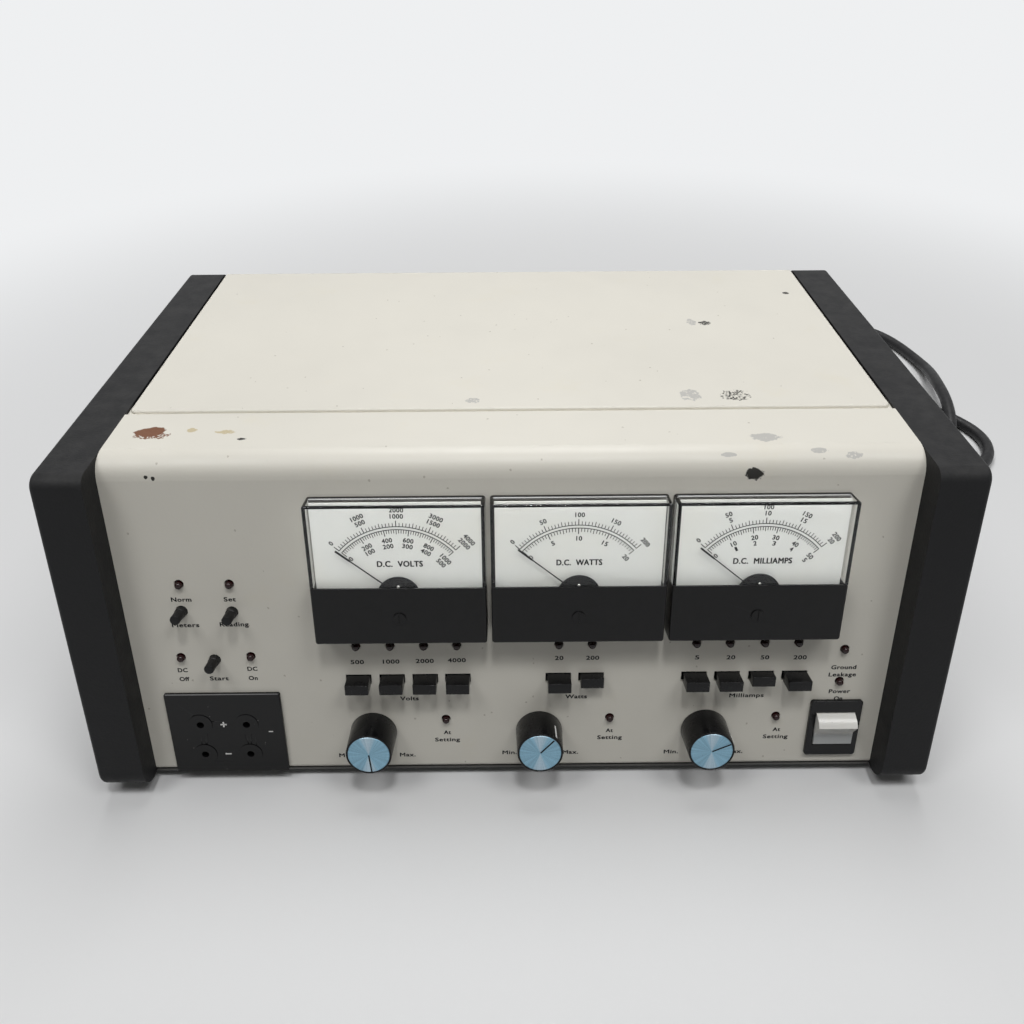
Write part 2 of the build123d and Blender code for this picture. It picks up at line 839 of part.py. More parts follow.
# Dial plates on their posts
with BuildPart() as meter_dials:
    side_wall_lean = (dial_back + dial_sheet - meter_base) * tan(radians(meter_draft))
    dial_width = meter_width - 2 * (meter_wall + side_wall_lean + dial_gap)
    dial_bottom = meter_low + dial_low
    dial_top = meter_high - dial_high
    for u in meter_us.values():
        blocks(panel, dial_width, dial_top - dial_bottom, dial_back, dial_back + dial_sheet,
               [(u, (dial_top + dial_bottom) / 2)])
        rods(panel, hub_radius + fit_gap, dial_back, dial_back + dial_sheet, [(u, pivot_v)], Mode.SUBTRACT)
        post_spots = [(u - movement_post_u, pivot_v), (u + movement_post_u, pivot_v)]
        rods(panel, movement_post_radius, dial_back, dial_back + dial_sheet, post_spots, Mode.SUBTRACT)
meter_dials.part.label = "meter_dials"
export_step(meter_dials.part, "parts/meter_dials.step")

# Movements: magnet ring and core, with the bridges that hold the needle's pivots
with BuildPart() as meter_movements:
    for u in meter_us.values():
        spot = turned(u, pivot_v, 0)
        post_spots = [(-movement_post_u, 0), (movement_post_u, 0)]
        bridge_width = 2 * (movement_post_u + movement_post_radius)
        rods(spot, magnet_radius, -magnet_back, -magnet_front)
        rods(spot, magnet_bore, -magnet_back, -magnet_front, mode=Mode.SUBTRACT)
        rods(spot, core_radius, -magnet_back, -magnet_front)
        blocks(spot, core_arm, magnet_bore + magnet_radius, -magnet_back, -magnet_front)
        rods(spot, movement_post_radius, -magnet_front, bridge_front, post_spots)
        rods(spot, movement_post_radius, barrel_wall - barrel_depth, -magnet_back, post_spots)
        blocks(spot, bridge_width, bridge_height, bridge_front, bridge_front + bridge_sheet)
        rods(spot, bridge_disc, bridge_front, bridge_front + bridge_sheet)
        lower_half = [(0, -(bridge_height + bridge_disc) / 2)]
        blocks(spot, 2 * bridge_disc, bridge_disc, bridge_front, bridge_front + bridge_sheet, lower_half, 0,
               Mode.SUBTRACT)
        blocks(spot, bridge_width, bridge_height, -rear_bridge, bridge_sheet - rear_bridge)
        rods(spot, jewel_radius, bridge_front, bridge_front + bridge_sheet, mode=Mode.SUBTRACT)
        rods(spot, jewel_radius, -rear_bridge, bridge_sheet - rear_bridge, mode=Mode.SUBTRACT)
meter_movements.part.label = "meter_movements"
export_step(meter_movements.part, "parts/meter_movements.step")

# Control knobs, their metal caps and shafts
knob_taper = degrees(atan2(knob_base_radius - knob_rim_radius, knob_height - knob_lift))
shaft_end = control_depth + sheet - shaft_end_wall
for name, (u, v) in knob_spots.items():
    spot = turned(u, v, knob_pointers[name])
    spot_axis = Axis(spot.origin, spot.z_dir)
    with BuildPart() as knob:
        with BuildSketch(spot.offset(knob_lift)):
            Circle(knob_base_radius)
        extrude(amount=knob_height - knob_lift, taper=knob_taper)
        fillet(knob.edges().group_by(spot_axis)[-1], knob_edge)
        rods(spot, knob_pocket_radius, knob_lift, knob_pocket, mode=Mode.SUBTRACT)
        rods(spot, shaft_radius, knob_lift, shaft_tip, mode=Mode.SUBTRACT)
        rods(spot, cap_radius + cap_gap, knob_height - cap_sheet, knob_height, mode=Mode.SUBTRACT)
        line_spot = [(0, knob_rim_radius - knob_line_depth + knob_line)]
        blocks(spot, knob_line, 2 * knob_line, knob_pocket, knob_height, line_spot, 0, Mode.SUBTRACT)
        set_screw = Plane(origin=spot.from_local_coords(Vector(0, 0, set_screw_height)), z_dir=-spot.y_dir)
        rods(set_screw, set_screw_radius, 0, knob_base_radius, mode=Mode.SUBTRACT)
    knob.part.label = f"{name}_knob"
    export_step(knob.part, f"parts/{name}_knob.step")

    with BuildPart() as knob_cap:
        rods(spot, cap_radius, knob_height - cap_sheet, knob_height)
        line_floor = knob_height - cap_line_depth
        blocks(spot, knob_line, cap_radius, line_floor, knob_height, [(0, cap_radius / 2)], 0, Mode.SUBTRACT)
    knob_cap.part.label = f"{name}_knob_cap"
    export_step(knob_cap.part, f"parts/{name}_knob_cap.step")

    with BuildPart() as control_shaft:
        rods(spot, shaft_radius, -shaft_end, shaft_tip)
        flat_spot = [(0, -shaft_radius)]
        blocks(spot, 2 * shaft_radius, 2 * shaft_flat, knob_pocket, shaft_tip, flat_spot, 0, Mode.SUBTRACT)
    control_shaft.part.label = f"{name}_control_shaft"
    export_step(control_shaft.part, f"parts/{name}_control_shaft.step")

# Potentiometers, held in the panel by a nut under each knob
with BuildPart() as potentiometers:
    spots = list(knob_spots.values())
    tag_spots = [(u + x, v - control_radius) for u, v in spots for x in (-control_tag, 0, control_tag)]
    rods(panel, control_radius, -control_depth - sheet, -sheet, spots)
    rods(panel, bushing_radius, -sheet, bushing_front, spots)
    nuts(panel, control_nut_radius, 0, control_nut, spots)
    rods(panel, shaft_radius + shaft_bore_gap, -shaft_end, bushing_front, spots, Mode.SUBTRACT)
    blocks(panel, tag_width, control_tag, -control_depth, tag_sheet - control_depth, tag_spots)
potentiometers.part.label = "potentiometers"
export_step(potentiometers.part, "parts/potentiometers.step")

# Range buttons: tapered keys on square stems; two stand latched in
for group, us in range_us.items():
    for u, value in zip(us, range_values[group]):
        name = f"{group}_{value}"
        key_front = key_out - key_travel if name in latched else key_out
        shoulder = key_front - key_taper_length
        key_back = shoulder - key_straight
        with BuildPart() as range_button:
            blocks(panel, key_width, key_height, key_back, shoulder, [(u, range_v)])
            with BuildSketch(panel.offset(shoulder)):
                with Locations((u, range_v)):
                    Rectangle(key_width, key_height)
            with BuildSketch(panel.offset(key_front)):
                with Locations((u, range_v)):
                    Rectangle(key_tip_width, key_tip_height)
            loft()
            fillet(range_button.faces().sort_by(panel_axis)[-1].edges(), key_edge)
            blocks(panel, key_stem, key_stem, key_back - key_stem_length, key_back, [(u, range_v)])
        range_button.part.label = f"{name}_button"
        export_step(range_button.part, f"parts/{name}_button.step")

# Switch banks behind the range buttons, standing on feet against the panel
with BuildPart() as range_switch_banks:
    slot_depth = key_travel + key_stem_length
    for us in range_us.values():
        bank_width = us[-1] - us[0] + 2 * bank_margin
        bank_middle = (us[0] + us[-1]) / 2
        foot_spread = (bank_width - bank_foot) / 2
        bank_feet = [(bank_middle - foot_spread, range_v), (bank_middle + foot_spread, range_v)]
        bank_back = -bank_front - bank_depth
        blocks(panel, bank_width, bank_height, bank_back, -bank_front, [(bank_middle, range_v)])
        blocks(panel, bank_foot, bank_height, -bank_front, -sheet, bank_feet)
    slot = key_stem + 2 * key_gap
    blocks(panel, slot, slot, -bank_front - slot_depth, -bank_front, range_spots, 0, Mode.SUBTRACT)
range_switch_banks.part.label = "range_switch_banks"
export_step(range_switch_banks.part, "parts/range_switch_banks.step")

# Push buttons and the switches behind them
for name, (u, v) in push_spots.items():
    with BuildPart() as push_button:
        rods(panel, push_radius, -push_tail, push_out, [(u, v)])
        fillet(push_button.edges().group_by(panel_axis)[-1], push_edge)
        collar_front = -sheet - push_collar_play
        rods(panel, push_collar_radius, collar_front - push_collar, collar_front, [(u, v)])
    push_button.part.label = f"{name}_push_button"
    export_step(push_button.part, f"parts/{name}_push_button.step")

with BuildPart() as push_switches:
    spots = list(push_spots.values())
    blocks(panel, push_body, push_body, -push_body_front - push_body_depth, -push_body_front, spots)
    rods(panel, push_bushing_radius, -push_body_front, -sheet, spots)
    rods(panel, push_collar_radius + push_gap, -push_body_front, -sheet, spots, Mode.SUBTRACT)
    tail_room = push_tail + push_travel + push_gap
    rods(panel, push_radius + push_gap, -tail_room, -push_body_front, spots, Mode.SUBTRACT)
push_switches.part.label = "push_switches"
export_step(push_switches.part, "parts/push_switches.step")

# Indicator lamps: domed, with a flange behind the panel
with BuildPart() as indicator_leds:
    rods(panel, lamp_radius, -lamp_back, lamp_straight + lamp_radius, all_lamp_spots)
    fillet(indicator_leds.edges().group_by(panel_axis)[-1], lamp_dome * lamp_radius)
    rods(panel, lamp_flange, -sheet - lamp_flange_sheet, -sheet, all_lamp_spots)
indicator_leds.part.label = "indicator_leds"
export_step(indicator_leds.part, "parts/indicator_leds.step")

# Output socket plate and its four recessed sockets
with BuildPart() as output_jack_plate:
    blocks(panel, plate_width, plate_height, 0, plate_sheet, [(plate_u, plate_v)], plate_corner)
    chamfer(output_jack_plate.faces().sort_by(panel_axis)[-1].edges(), plate_edge)
    rods(panel, socket_radius + socket_gap, 0, plate_sheet, socket_spots, Mode.SUBTRACT)
output_jack_plate.part.label = "output_jack_plate"
export_step(output_jack_plate.part, "parts/output_jack_plate.step")

socket_face = plate_sheet + socket_flange_sheet
with BuildPart() as output_jacks:
    rods(panel, socket_radius, -socket_depth, plate_sheet, socket_spots)
    rods(panel, socket_flange, plate_sheet, socket_face, socket_spots)
    nuts(panel, socket_nut_radius, -sheet - socket_nut, -sheet, socket_spots)
    rods(panel, socket_tag_radius, -socket_depth - socket_tag, -socket_depth, socket_spots)
    rods(panel, socket_bore, socket_face - socket_bore_depth, socket_face, socket_spots, Mode.SUBTRACT)
output_jacks.part.label = "output_jacks"
export_step(output_jacks.part, "parts/output_jacks.step")

# Power switch: a framed housing with a round cavity, and the rocker that turns in it on two pins
switch_spot = [(switch_u, switch_v)]
cavity_width = rocker_width + 2 * housing_gap
cavity_radius = rocker_radius + rocker_gap
with BuildPart() as power_switch_frame:
    blocks(panel, switch_width, switch_height, 0, switch_sheet, switch_spot, switch_corner)
    fillet(power_switch_frame.faces().sort_by(panel_axis)[-1].edges(), switch_edge)
    blocks(panel, housing_width, housing_height, -housing_depth, 0, switch_spot)
    blocks(panel, cavity_width, 2 * cavity_radius, rocker_pivot, switch_sheet, switch_spot, 0,
           Mode.SUBTRACT)
    cavity_side = upright(switch_u - cavity_width / 2, switch_v, rocker_pivot)
    rods(cavity_side, cavity_radius, 0, cavity_width, mode=Mode.SUBTRACT)
    housing_side = upright(switch_u - housing_width / 2, switch_v, rocker_pivot)
    rods(housing_side, rocker_pin_radius + rocker_pin_gap, 0, housing_width, mode=Mode.SUBTRACT)
    blade_spots = [(switch_u + side * switch_tag_u, switch_v + side * switch_tag_u) for side in (-1, 1)]
    blocks(panel, switch_tag_width, tag_sheet, -housing_depth - switch_tag, -housing_depth, blade_spots)
power_switch_frame.part.label = "power_switch_frame"
export_step(power_switch_frame.part, "parts/power_switch_frame.step")


def rocker_point(angle, radius):
    """Point at an angle from the rocker's own middle line, as it stands with its lower half pressed."""
    turn = radians(angle - rocker_tilt)
    return (radius * sin(turn), radius * cos(turn))


with BuildPart() as power_rocker:
    side_plane = upright(switch_u - rocker_width / 2, switch_v, rocker_pivot)
    with BuildSketch(side_plane):
        with BuildLine():
            middle_angle = (rocker_corner_angle + rocker_back_angle) / 2
            upper = rocker_point(rocker_corner_angle, rocker_radius)
            lower = rocker_point(-rocker_corner_angle, rocker_radius)
            upper_back = rocker_point(rocker_back_angle, rocker_radius)
            lower_back = rocker_point(-rocker_back_angle, rocker_radius)
            Polyline(lower, rocker_point(0, rocker_valley), upper)
            ThreePointArc(upper, rocker_point(middle_angle, rocker_radius), upper_back)
            Line(upper_back, lower_back)
            ThreePointArc(lower_back, rocker_point(-middle_angle, rocker_radius), lower)
        make_face()
    extrude(amount=rocker_width)
    rods(side_plane, rocker_pin_radius, -rocker_pin_length, rocker_width + rocker_pin_length)
power_rocker.part.label = "power_rocker"
export_step(power_rocker.part, "parts/power_rocker.step")

# Cord gland in the rear panel, with a ribbed sleeve
gland_spot = [(-gland_x, gland_height)]
with BuildPart() as cord_gland:
    rods(rear_plane, gland_body, -sheet - gland_inside, 0, gland_spot)
    nuts(rear_plane, gland_nut_radius, -sheet - gland_nut, -sheet, gland_spot)
    rods(rear_plane, gland_flange, 0, gland_flange_sheet, gland_spot)
    with BuildSketch(rear_plane.offset(gland_flange_sheet)):
        with Locations(*gland_spot):
            Circle(gland_body)
    extrude(amount=gland_reach - gland_flange_sheet, taper=gland_taper)
    for index in range(gland_rib_count):
        groove = gland_flange_sheet + (index + 1) * 2 * gland_rib
        with BuildSketch(rear_plane.offset(groove)):
            with Locations(*gland_spot):
                Circle(gland_flange)
                Circle(cord_radius + gland_rib_floor, mode=Mode.SUBTRACT)
        extrude(amount=gland_rib, mode=Mode.SUBTRACT)
cord_gland.part.label = "cord_gland"
export_step(cord_gland.part, "parts/cord_gland.step")

# Fuse holder beside it
fuse_spot = [(-fuse_x, fuse_height)]
with BuildPart() as fuse_holder:
    rods(rear_plane, fuse_body, -fuse_inside, 0, fuse_spot)
    rods(rear_plane, fuse_flange, 0, fuse_flange_sheet, fuse_spot)
    rods(rear_plane, fuse_cap, fuse_flange_sheet, fuse_cap_reach, fuse_spot)
    blocks(rear_plane, 2 * fuse_cap, screw_slot, fuse_cap_reach - screw_slot, fuse_cap_reach, fuse_spot, 0,
           Mode.SUBTRACT)
    nuts(rear_plane, fuse_flange, -sheet - gland_nut, -sheet, fuse_spot)
fuse_holder.part.label = "fuse_holder"
export_step(fuse_holder.part, "parts/fuse_holder.step")

# Circuit board on four pillars, with reservoir capacitors, relays and a finned heat sink
board_y = case_front + board_back
board_plane = Plane.XY.offset(case_bottom + board_lift)
with BuildPart() as circuit_board:
    blocks(board_plane, board_width, board_length, 0, board_sheet, [(board_x, board_y)])
    pillar_x = board_width / 2 - 2 * pillar_radius
    pillar_y = board_length / 2 - 2 * pillar_radius
    pillars = [(board_x + side * pillar_x, board_y + end * pillar_y) for side in (-1, 1) for end in (-1, 1)]
    rods(board_plane, pillar_radius, -board_lift, 0, pillars)
    capacitor_y = board_y - board_length / 2 + capacitor_radius + capacitor_edge
    capacitors = [
        (board_x + (index - (capacitor_count - 1) / 2) * capacitor_pitch, capacitor_y)
        for index in range(capacitor_count)
    ]
    rods(board_plane, capacitor_radius, board_sheet, board_sheet + capacitor_height, capacitors)
    relays = [(board_x + x, board_y + capacitor_edge) for x in relay_xs]
    blocks(board_plane, relay_size, relay_length, board_sheet, board_sheet + relay_size, relays)
    sink_y = board_y + board_length / 2 - sink_fin_depth
    blocks(board_plane, sink_width, sink_base, board_sheet, board_sheet + sink_height, [(board_x, sink_y)])
    fin_count = int(sink_width / sink_fin_pitch)
    fins = [
        (board_x + (index - (fin_count - 1) / 2) * sink_fin_pitch, sink_y + sink_fin_depth / 2)
        for index in range(fin_count)
    ]
    blocks(board_plane, sink_fin, sink_fin_depth, board_sheet, board_sheet + sink_height, fins)
circuit_board.part.label = "circuit_board"
export_step(circuit_board.part, "parts/circuit_board.step")

# Mains transformer: laminated core with two windows, filled by the winding, in a strap bracket
mains_y = case_front + mains_back
floor_plane = Plane.XY.offset(case_bottom)
core_end = Plane(origin=(mains_x, mains_y - core_stack / 2, case_bottom + bracket_sheet), x_dir=(-1, 0, 0),
                 z_dir=(0, 1, 0))
winding_height = core_height - 2 * core_leg
with BuildPart() as mains_transformer:
    blocks(core_end, core_width, core_height, 0, core_stack, [(0, core_height / 2)])
    blocks(core_end, core_width - 2 * core_leg, winding_height, -winding_bulge, core_stack + winding_bulge,
           [(0, core_height / 2)], winding_corner)
    blocks(floor_plane, bracket_width, core_stack, 0, bracket_sheet, [(mains_x, mains_y)])
    bracket_reach = bracket_width / 2 - 2 * screw_head_radius
    bracket_ends = [(mains_x + side * bracket_reach, mains_y) for side in (-1, 1)]
    rods(floor_plane, screw_head_radius, bracket_sheet, 2 * bracket_sheet, bracket_ends)
mains_transformer.part.label = "mains_transformer"
export_step(mains_transformer.part, "parts/mains_transformer.step")

# High-voltage transformer: a potted block with two insulated posts
potted_y = case_front + potted_back
with BuildPart() as high_voltage_transformer:
    with BuildSketch(floor_plane):
        with Locations((potted_x, potted_y)):
            RectangleRounded(potted_width, potted_length, potted_corner)
    extrude(amount=potted_height, taper=potted_draft)
    posts = [(potted_x + side * potted_post_x, potted_y) for side in (-1, 1)]
    rods(floor_plane, potted_post_radius, potted_height, potted_height + potted_post, posts)
high_voltage_transformer.part.label = "high_voltage_transformer"
export_step(high_voltage_transformer.part, "parts/high_voltage_transformer.step")

# Screws: cover to rear panel, pan to flanges and feet, pan walls to side panels
with BuildPart() as case_screws:
    screws(hook_plane, screw_length, rear_screw_spots)
    pan_under = Plane(origin=(0, 0, foot_height), x_dir=(1, 0, 0), z_dir=(0, 0, -1))
    screws(pan_under, screw_length, [(x, -y) for x, y in floor_screw_spots])
    foot_seat = Plane(origin=(0, 0, foot_recess), x_dir=(1, 0, 0), z_dir=(0, 0, -1))
    screws(foot_seat, foot_screw_length, [(x, -y) for x, y in foot_spots])
    for side in (-1, 1):
        wall_inside = Plane(origin=(side * (panel_width / 2 - floor_sheet), 0, 0), x_dir=(0, -side, 0),
                            z_dir=(-side, 0, 0))
        screws(wall_inside, boss_screw_length, [(-side * y, z) for y, z in side_spots()])
case_screws.part.label = "case_screws"
export_step(case_screws.part, "parts/case_screws.step")


def section(start, heading):
    """The lead's round section at its start, square to its heading."""
    with BuildSketch(Plane(origin=start, z_dir=heading)) as round_section:
        Circle(cord_radius)
    return round_section.sketch


def least_gap(path, samples=700):
    """Least clear distance between strands of a lead, away from the point's own neighbourhood."""
    points = [path.position_at(index / samples) for index in range(samples + 1)]
    apart = ceil(samples * 6 * cord_radius / path.length)
    gaps = [
        (first - second).length
        for index, first in enumerate(points)
        for second in points[index + apart:]
    ]
    return min(gaps) - 2 * cord_radius


def corner_radii(points):
    """Radius of the arc at each point of a route, from its shorter run and its turn."""
    radii = []
    for before, corner, after in zip(points, points[1:], points[2:]):
        run_in = Vector(*corner) - Vector(*before)
        run_out = Vector(*after) - Vector(*corner)
        half_turn = radians(run_in.get_angle(run_out)) / 2
        radii.append(run_share * min(run_in.length, run_out.length) / tan(half_turn))
    return radii


# Mains lead from the gland round to the spare coil
cord_start = (gland_x, rear_face + gland_reach, case_bottom + gland_height)
route = [cord_start] + cord_route
route_radii = corner_radii(route)
print("cord radii", [round(radius) for radius in route_radii])
with BuildPart() as mains_cord:
    with BuildLine() as cord_path:
        FilletPolyline(*route, radius=route_radii)
    cord_wire = cord_path.wires()[0]
    sweep(section(cord_start, (0, 1, 0)), path=cord_wire)
print("cord length", round(cord_wire.length, 1), "least gap", round(least_gap(cord_wire), 2))
mains_cord.part.label = "mains_cord"
export_step(mains_cord.part, "parts/mains_cord.step")

# Spare lead coiled behind the case: in, up a layer in the half turn where it reverses, and out
coil_start = Vector(*cord_route[-1])
with BuildPart() as cord_coil:
    with BuildLine() as coil_path:
        near = coil_start
        turns = [(coil_radius, 0), (coil_radius - coil_step, 0), (coil_climb_radius, coil_lift),
                 (coil_radius - coil_step, 0), (coil_radius, 0)]
        for index, (radius, climb) in enumerate(turns[:-1]):
            side = -1 if index % 2 == 0 else 1
            far = near + Vector(0, -side * 2 * radius, climb)
            reach = (far - near).length / 2
            ThreePointArc(near, (near + far) / 2 + Vector(side * reach, 0, 0), far)
            near = far
        left = near + Vector(-coil_radius, coil_radius, 0)
        slant = coil_radius * sqrt(0.5)
        ThreePointArc(near, near + Vector(-slant, coil_radius - slant, 0), left)
        exit_slant = coil_exit_radius * sqrt(0.5)
        top = left + Vector(coil_exit_radius, coil_exit_radius, 0)
        ThreePointArc(left, left + Vector(coil_exit_radius - exit_slant, exit_slant, 0), top)
        plug_start = top + Vector(coil_end, 0, 0)
        Line(top, plug_start)
    coil_wire = coil_path.wires()[0]
    sweep(section(coil_start, (-1, 0, 0)), path=coil_wire)
print("coil length", round(coil_wire.length, 1), "least gap", round(least_gap(coil_wire), 2))
cord_coil.part.label = "cord_coil"
export_step(cord_coil.part, "parts/cord_coil.step")

# Moulded mains plug at the lead's end: two blades and an earth pin
plug_plane = Plane(origin=plug_start, x_dir=(0, 1, 0), z_dir=(1, 0, 0))
with BuildPart() as mains_plug:
    with BuildSketch(plug_plane):
        Circle(plug_neck_radius)
    with BuildSketch(plug_plane.offset(plug_neck)):
        Circle(plug_radius - plug_edge)
    loft()
    rods(plug_plane, plug_radius, plug_neck, plug_neck + plug_body)
    fillet(mains_plug.edges().group_by(Axis.X)[-1], plug_edge)
    plug_face = plug_neck + plug_body
    blades = [(-blade_spread, blade_rise), (blade_spread, blade_rise)]
    blocks(plug_plane, blade_sheet, blade_width, plug_face, plug_face + blade_length, blades)
    rods(plug_plane, earth_radius, plug_face, plug_face + earth_length, [(0, blade_rise - earth_drop)])
mains_plug.part.label = "mains_plug"
export_step(mains_plug.part, "parts/mains_plug.step")
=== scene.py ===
import math
from math import cos, pi, radians, sin

import bmesh
import bpy
from bpy.props import FloatProperty, FloatVectorProperty, IntProperty, PointerProperty
from mathutils import Matrix, Vector


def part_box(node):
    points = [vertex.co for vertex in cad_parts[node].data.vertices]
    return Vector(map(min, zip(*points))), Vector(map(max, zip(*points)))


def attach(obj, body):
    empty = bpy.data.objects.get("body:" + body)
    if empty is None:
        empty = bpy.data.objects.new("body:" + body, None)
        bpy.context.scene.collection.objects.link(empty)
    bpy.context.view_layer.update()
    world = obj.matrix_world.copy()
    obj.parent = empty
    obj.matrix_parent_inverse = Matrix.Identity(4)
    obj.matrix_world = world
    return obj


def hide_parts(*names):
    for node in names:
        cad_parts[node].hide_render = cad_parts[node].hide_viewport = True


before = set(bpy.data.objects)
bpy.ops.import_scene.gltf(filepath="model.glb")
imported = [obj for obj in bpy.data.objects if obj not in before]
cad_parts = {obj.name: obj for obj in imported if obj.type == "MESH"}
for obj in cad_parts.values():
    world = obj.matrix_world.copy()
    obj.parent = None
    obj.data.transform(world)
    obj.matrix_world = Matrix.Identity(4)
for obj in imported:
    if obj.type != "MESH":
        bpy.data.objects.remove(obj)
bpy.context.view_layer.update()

bl_info = {
    "name": "Electrophoresis power supply",
    "version": (1, 0, 0),
    "blender": (4, 5, 0),
    "location": "3D View > Sidebar > Supply",
    "description": "Dresses the power supply: painted case, moulded sides, meters, controls and mains lead",
    "category": "Object",
}

LEAN = radians(15)
CASE_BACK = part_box("top_cover")[1].y * 1000
CASE_FRONT = CASE_BACK - 290.5
CASE_BOTTOM = 8.0
METRES = Matrix.Scale(0.001, 4)

# The leaning panel's own frame in millimetres: X across, Y up the panel, Z out of it
PANEL = Matrix((
    (1, 0, 0, 0),
    (0, sin(LEAN), -cos(LEAN), CASE_FRONT),
    (0, cos(LEAN), sin(LEAN), CASE_BOTTOM),
    (0, 0, 0, 1),
))

# Places on the panel in millimetres: across it, and up it from its foot
METER_US = {"volts": -57.45, "watts": 33.6, "milliamps": 124.65}
KNOB_SPOTS = {"volts": (-77.7, 25.7), "watts": (14.3, 25.7), "milliamps": (106.3, 25.7)}
# Which way each pointer line stands, in degrees clockwise from straight up
KNOB_POINTERS = {"volts": 175.0, "watts": 42.0, "milliamps": 65.0}
# Each group's keys: place across the panel, and range
RANGE_KEYS = {
    "volts": ((-83.7, 500), (-65.5, 1000), (-47.6, 2000), (-29.9, 4000)),
    "watts": ((24.6, 20), (42.4, 200)),
    "milliamps": ((98.3, 5), (116.2, 20), (134.8, 50), (152.9, 200)),
}
RANGE_LAMP_V = 80.8
# The painted strip that closes the upper part of each key's window: its foot and top
WINDOW_STRIP = (62.9, 66.4)
LATCHED = ("watts_200", "milliamps_50")
PUSH_SPOTS = {"meters": (-172.9, 102.9), "reading": (-146.6, 102.2), "start": (-159.8, 73.2)}
LAMP_SPOTS = [
    (-171.9, 118.7), (-146.0, 118.6), (-177.6, 75.0), (-140.3, 75.2), (-37.3, 33.7),
    (53.5, 33.7), (145.9, 33.7), (178.1, 76.3), (178.1, 56.1),
] + [(u, RANGE_LAMP_V) for row in RANGE_KEYS.values() for u, value in row]


# ---------------------------------------------------------------- sizes and colours

class CaseSettings(bpy.types.PropertyGroup):
    """Colours of the painted case and its moulded sides"""
    paint: FloatVectorProperty(name="Paint", description="Off-white enamel of the cover and panel",
                               default=(0.745, 0.72, 0.645), size=3, subtype="COLOR", min=0, max=1)
    primer: FloatVectorProperty(name="Chips", description="Dark metal that shows where paint is chipped",
                                default=(0.013, 0.012, 0.009), size=3, subtype="COLOR", min=0, max=1)
    glue: FloatVectorProperty(name="Glue", description="Brown remains of old glue",
                              default=(0.15, 0.050, 0.022), size=3, subtype="COLOR", min=0, max=1)
    moulding: FloatVectorProperty(name="Moulding", description="Black grained plastic of the side panels",
                                  default=(0.0065, 0.0066, 0.0072), size=3, subtype="COLOR", min=0, max=1)
    edge: FloatProperty(name="Edge", description="Rounding of small sheet edges", default=0.00025,
                        min=0, max=0.001, unit="LENGTH", precision=5)


class MeterSettings(bpy.types.PropertyGroup):
    """Sizes of the dial printing and the colours of the meters"""
    card: FloatVectorProperty(name="Card", description="White of the dial plates",
                              default=(0.66, 0.66, 0.635), size=3, subtype="COLOR", min=0, max=1)
    ink: FloatVectorProperty(name="Ink", description="Black of the dial printing",
                             default=(0.007, 0.007, 0.0075), size=3, subtype="COLOR", min=0, max=1)
    outer_arc: FloatProperty(name="Outer arc", description="Radius of the outer arc", default=0.0392,
                             unit="LENGTH", precision=4)
    inner_arc: FloatProperty(name="Inner arc", description="Radius of the inner arc", default=0.0376,
                             unit="LENGTH", precision=4)
    half_sweep: FloatProperty(name="Half sweep", description="Angle from the middle of the scale to its end",
                              default=radians(47.9), subtype="ANGLE")
    number_height: FloatProperty(name="Numbers", description="Height of the dial's numbers", default=0.0025,
                                 unit="LENGTH", precision=4)


class ControlSettings(bpy.types.PropertyGroup):
    """Sizes and colours of knobs, keys, lamps and the rocker"""
    knob_base: FloatProperty(name="Knob base", description="Radius of a knob at the panel", default=0.0129,
                             unit="LENGTH", precision=4)
    knob_rim: FloatProperty(name="Knob rim", description="Radius of a knob at its front", default=0.0123,
                            unit="LENGTH", precision=4)
    knob_height: FloatProperty(name="Knob height", description="How far a knob stands out", default=0.0206,
                               unit="LENGTH", precision=4)
    lamp: FloatVectorProperty(name="Lamp", description="Dark red of the unlit lamps",
                              default=(0.017, 0.0016, 0.0022), size=3, subtype="COLOR", min=0, max=1)
    # The caps' blue tint is a painted reflection of blue surroundings in the metal.
    cap: FloatVectorProperty(name="Cap", description="Cool tint of the spun caps",
                             default=(0.25, 0.43, 0.55), size=3, subtype="COLOR", min=0, max=1)
    rocker: FloatVectorProperty(name="Rocker", description="White of the power rocker",
                                default=(0.84, 0.83, 0.79), size=3, subtype="COLOR", min=0, max=1)
    round_steps: IntProperty(name="Round steps", description="Sides of a turned piece", default=72,
                             min=24, max=128)


class LeadSettings(bpy.types.PropertyGroup):
    """The mains lead"""
    diameter: FloatProperty(name="Diameter", description="Outside diameter of the lead", default=0.010,
                            unit="LENGTH", precision=4)
    length: FloatProperty(name="Length", description="Length from the gland to the plug", default=2.28,
                          unit="LENGTH", precision=3)
    turn_points: IntProperty(name="Points per turn", description="Control points in a turn of the coil",
                             default=16, min=12, max=32)
    sheath: FloatVectorProperty(name="Sheath", description="Black of the lead's sheath",
                                default=(0.009, 0.009, 0.010), size=3, subtype="COLOR", min=0, max=1)


class StageSettings(bpy.types.PropertyGroup):
    """Floor, lamps and camera"""
    floor: FloatVectorProperty(name="Floor", description="Pale floor", default=(0.78, 0.785, 0.79), size=3,
                               subtype="COLOR", min=0, max=1)
    backdrop: FloatVectorProperty(name="Backdrop", description="Pale background behind the floor",
                                  default=(0.86, 0.87, 0.88), size=3, subtype="COLOR", min=0, max=1)
    front_power: FloatProperty(name="Front lamps", description="Power of each lamp ahead of the case",
                               default=9.0, unit="POWER")
    key_power: FloatProperty(name="Small lamp", description="Power of the small lamp over the camera",
                             default=9.0, unit="POWER")
    back_power: FloatProperty(name="Back lamp", description="Power of the lamp above and behind the case",
                              default=19.0, unit="POWER")
    room: FloatProperty(name="Room light", description="Strength of the even light from all around",
                        default=0.10, min=0, max=2)


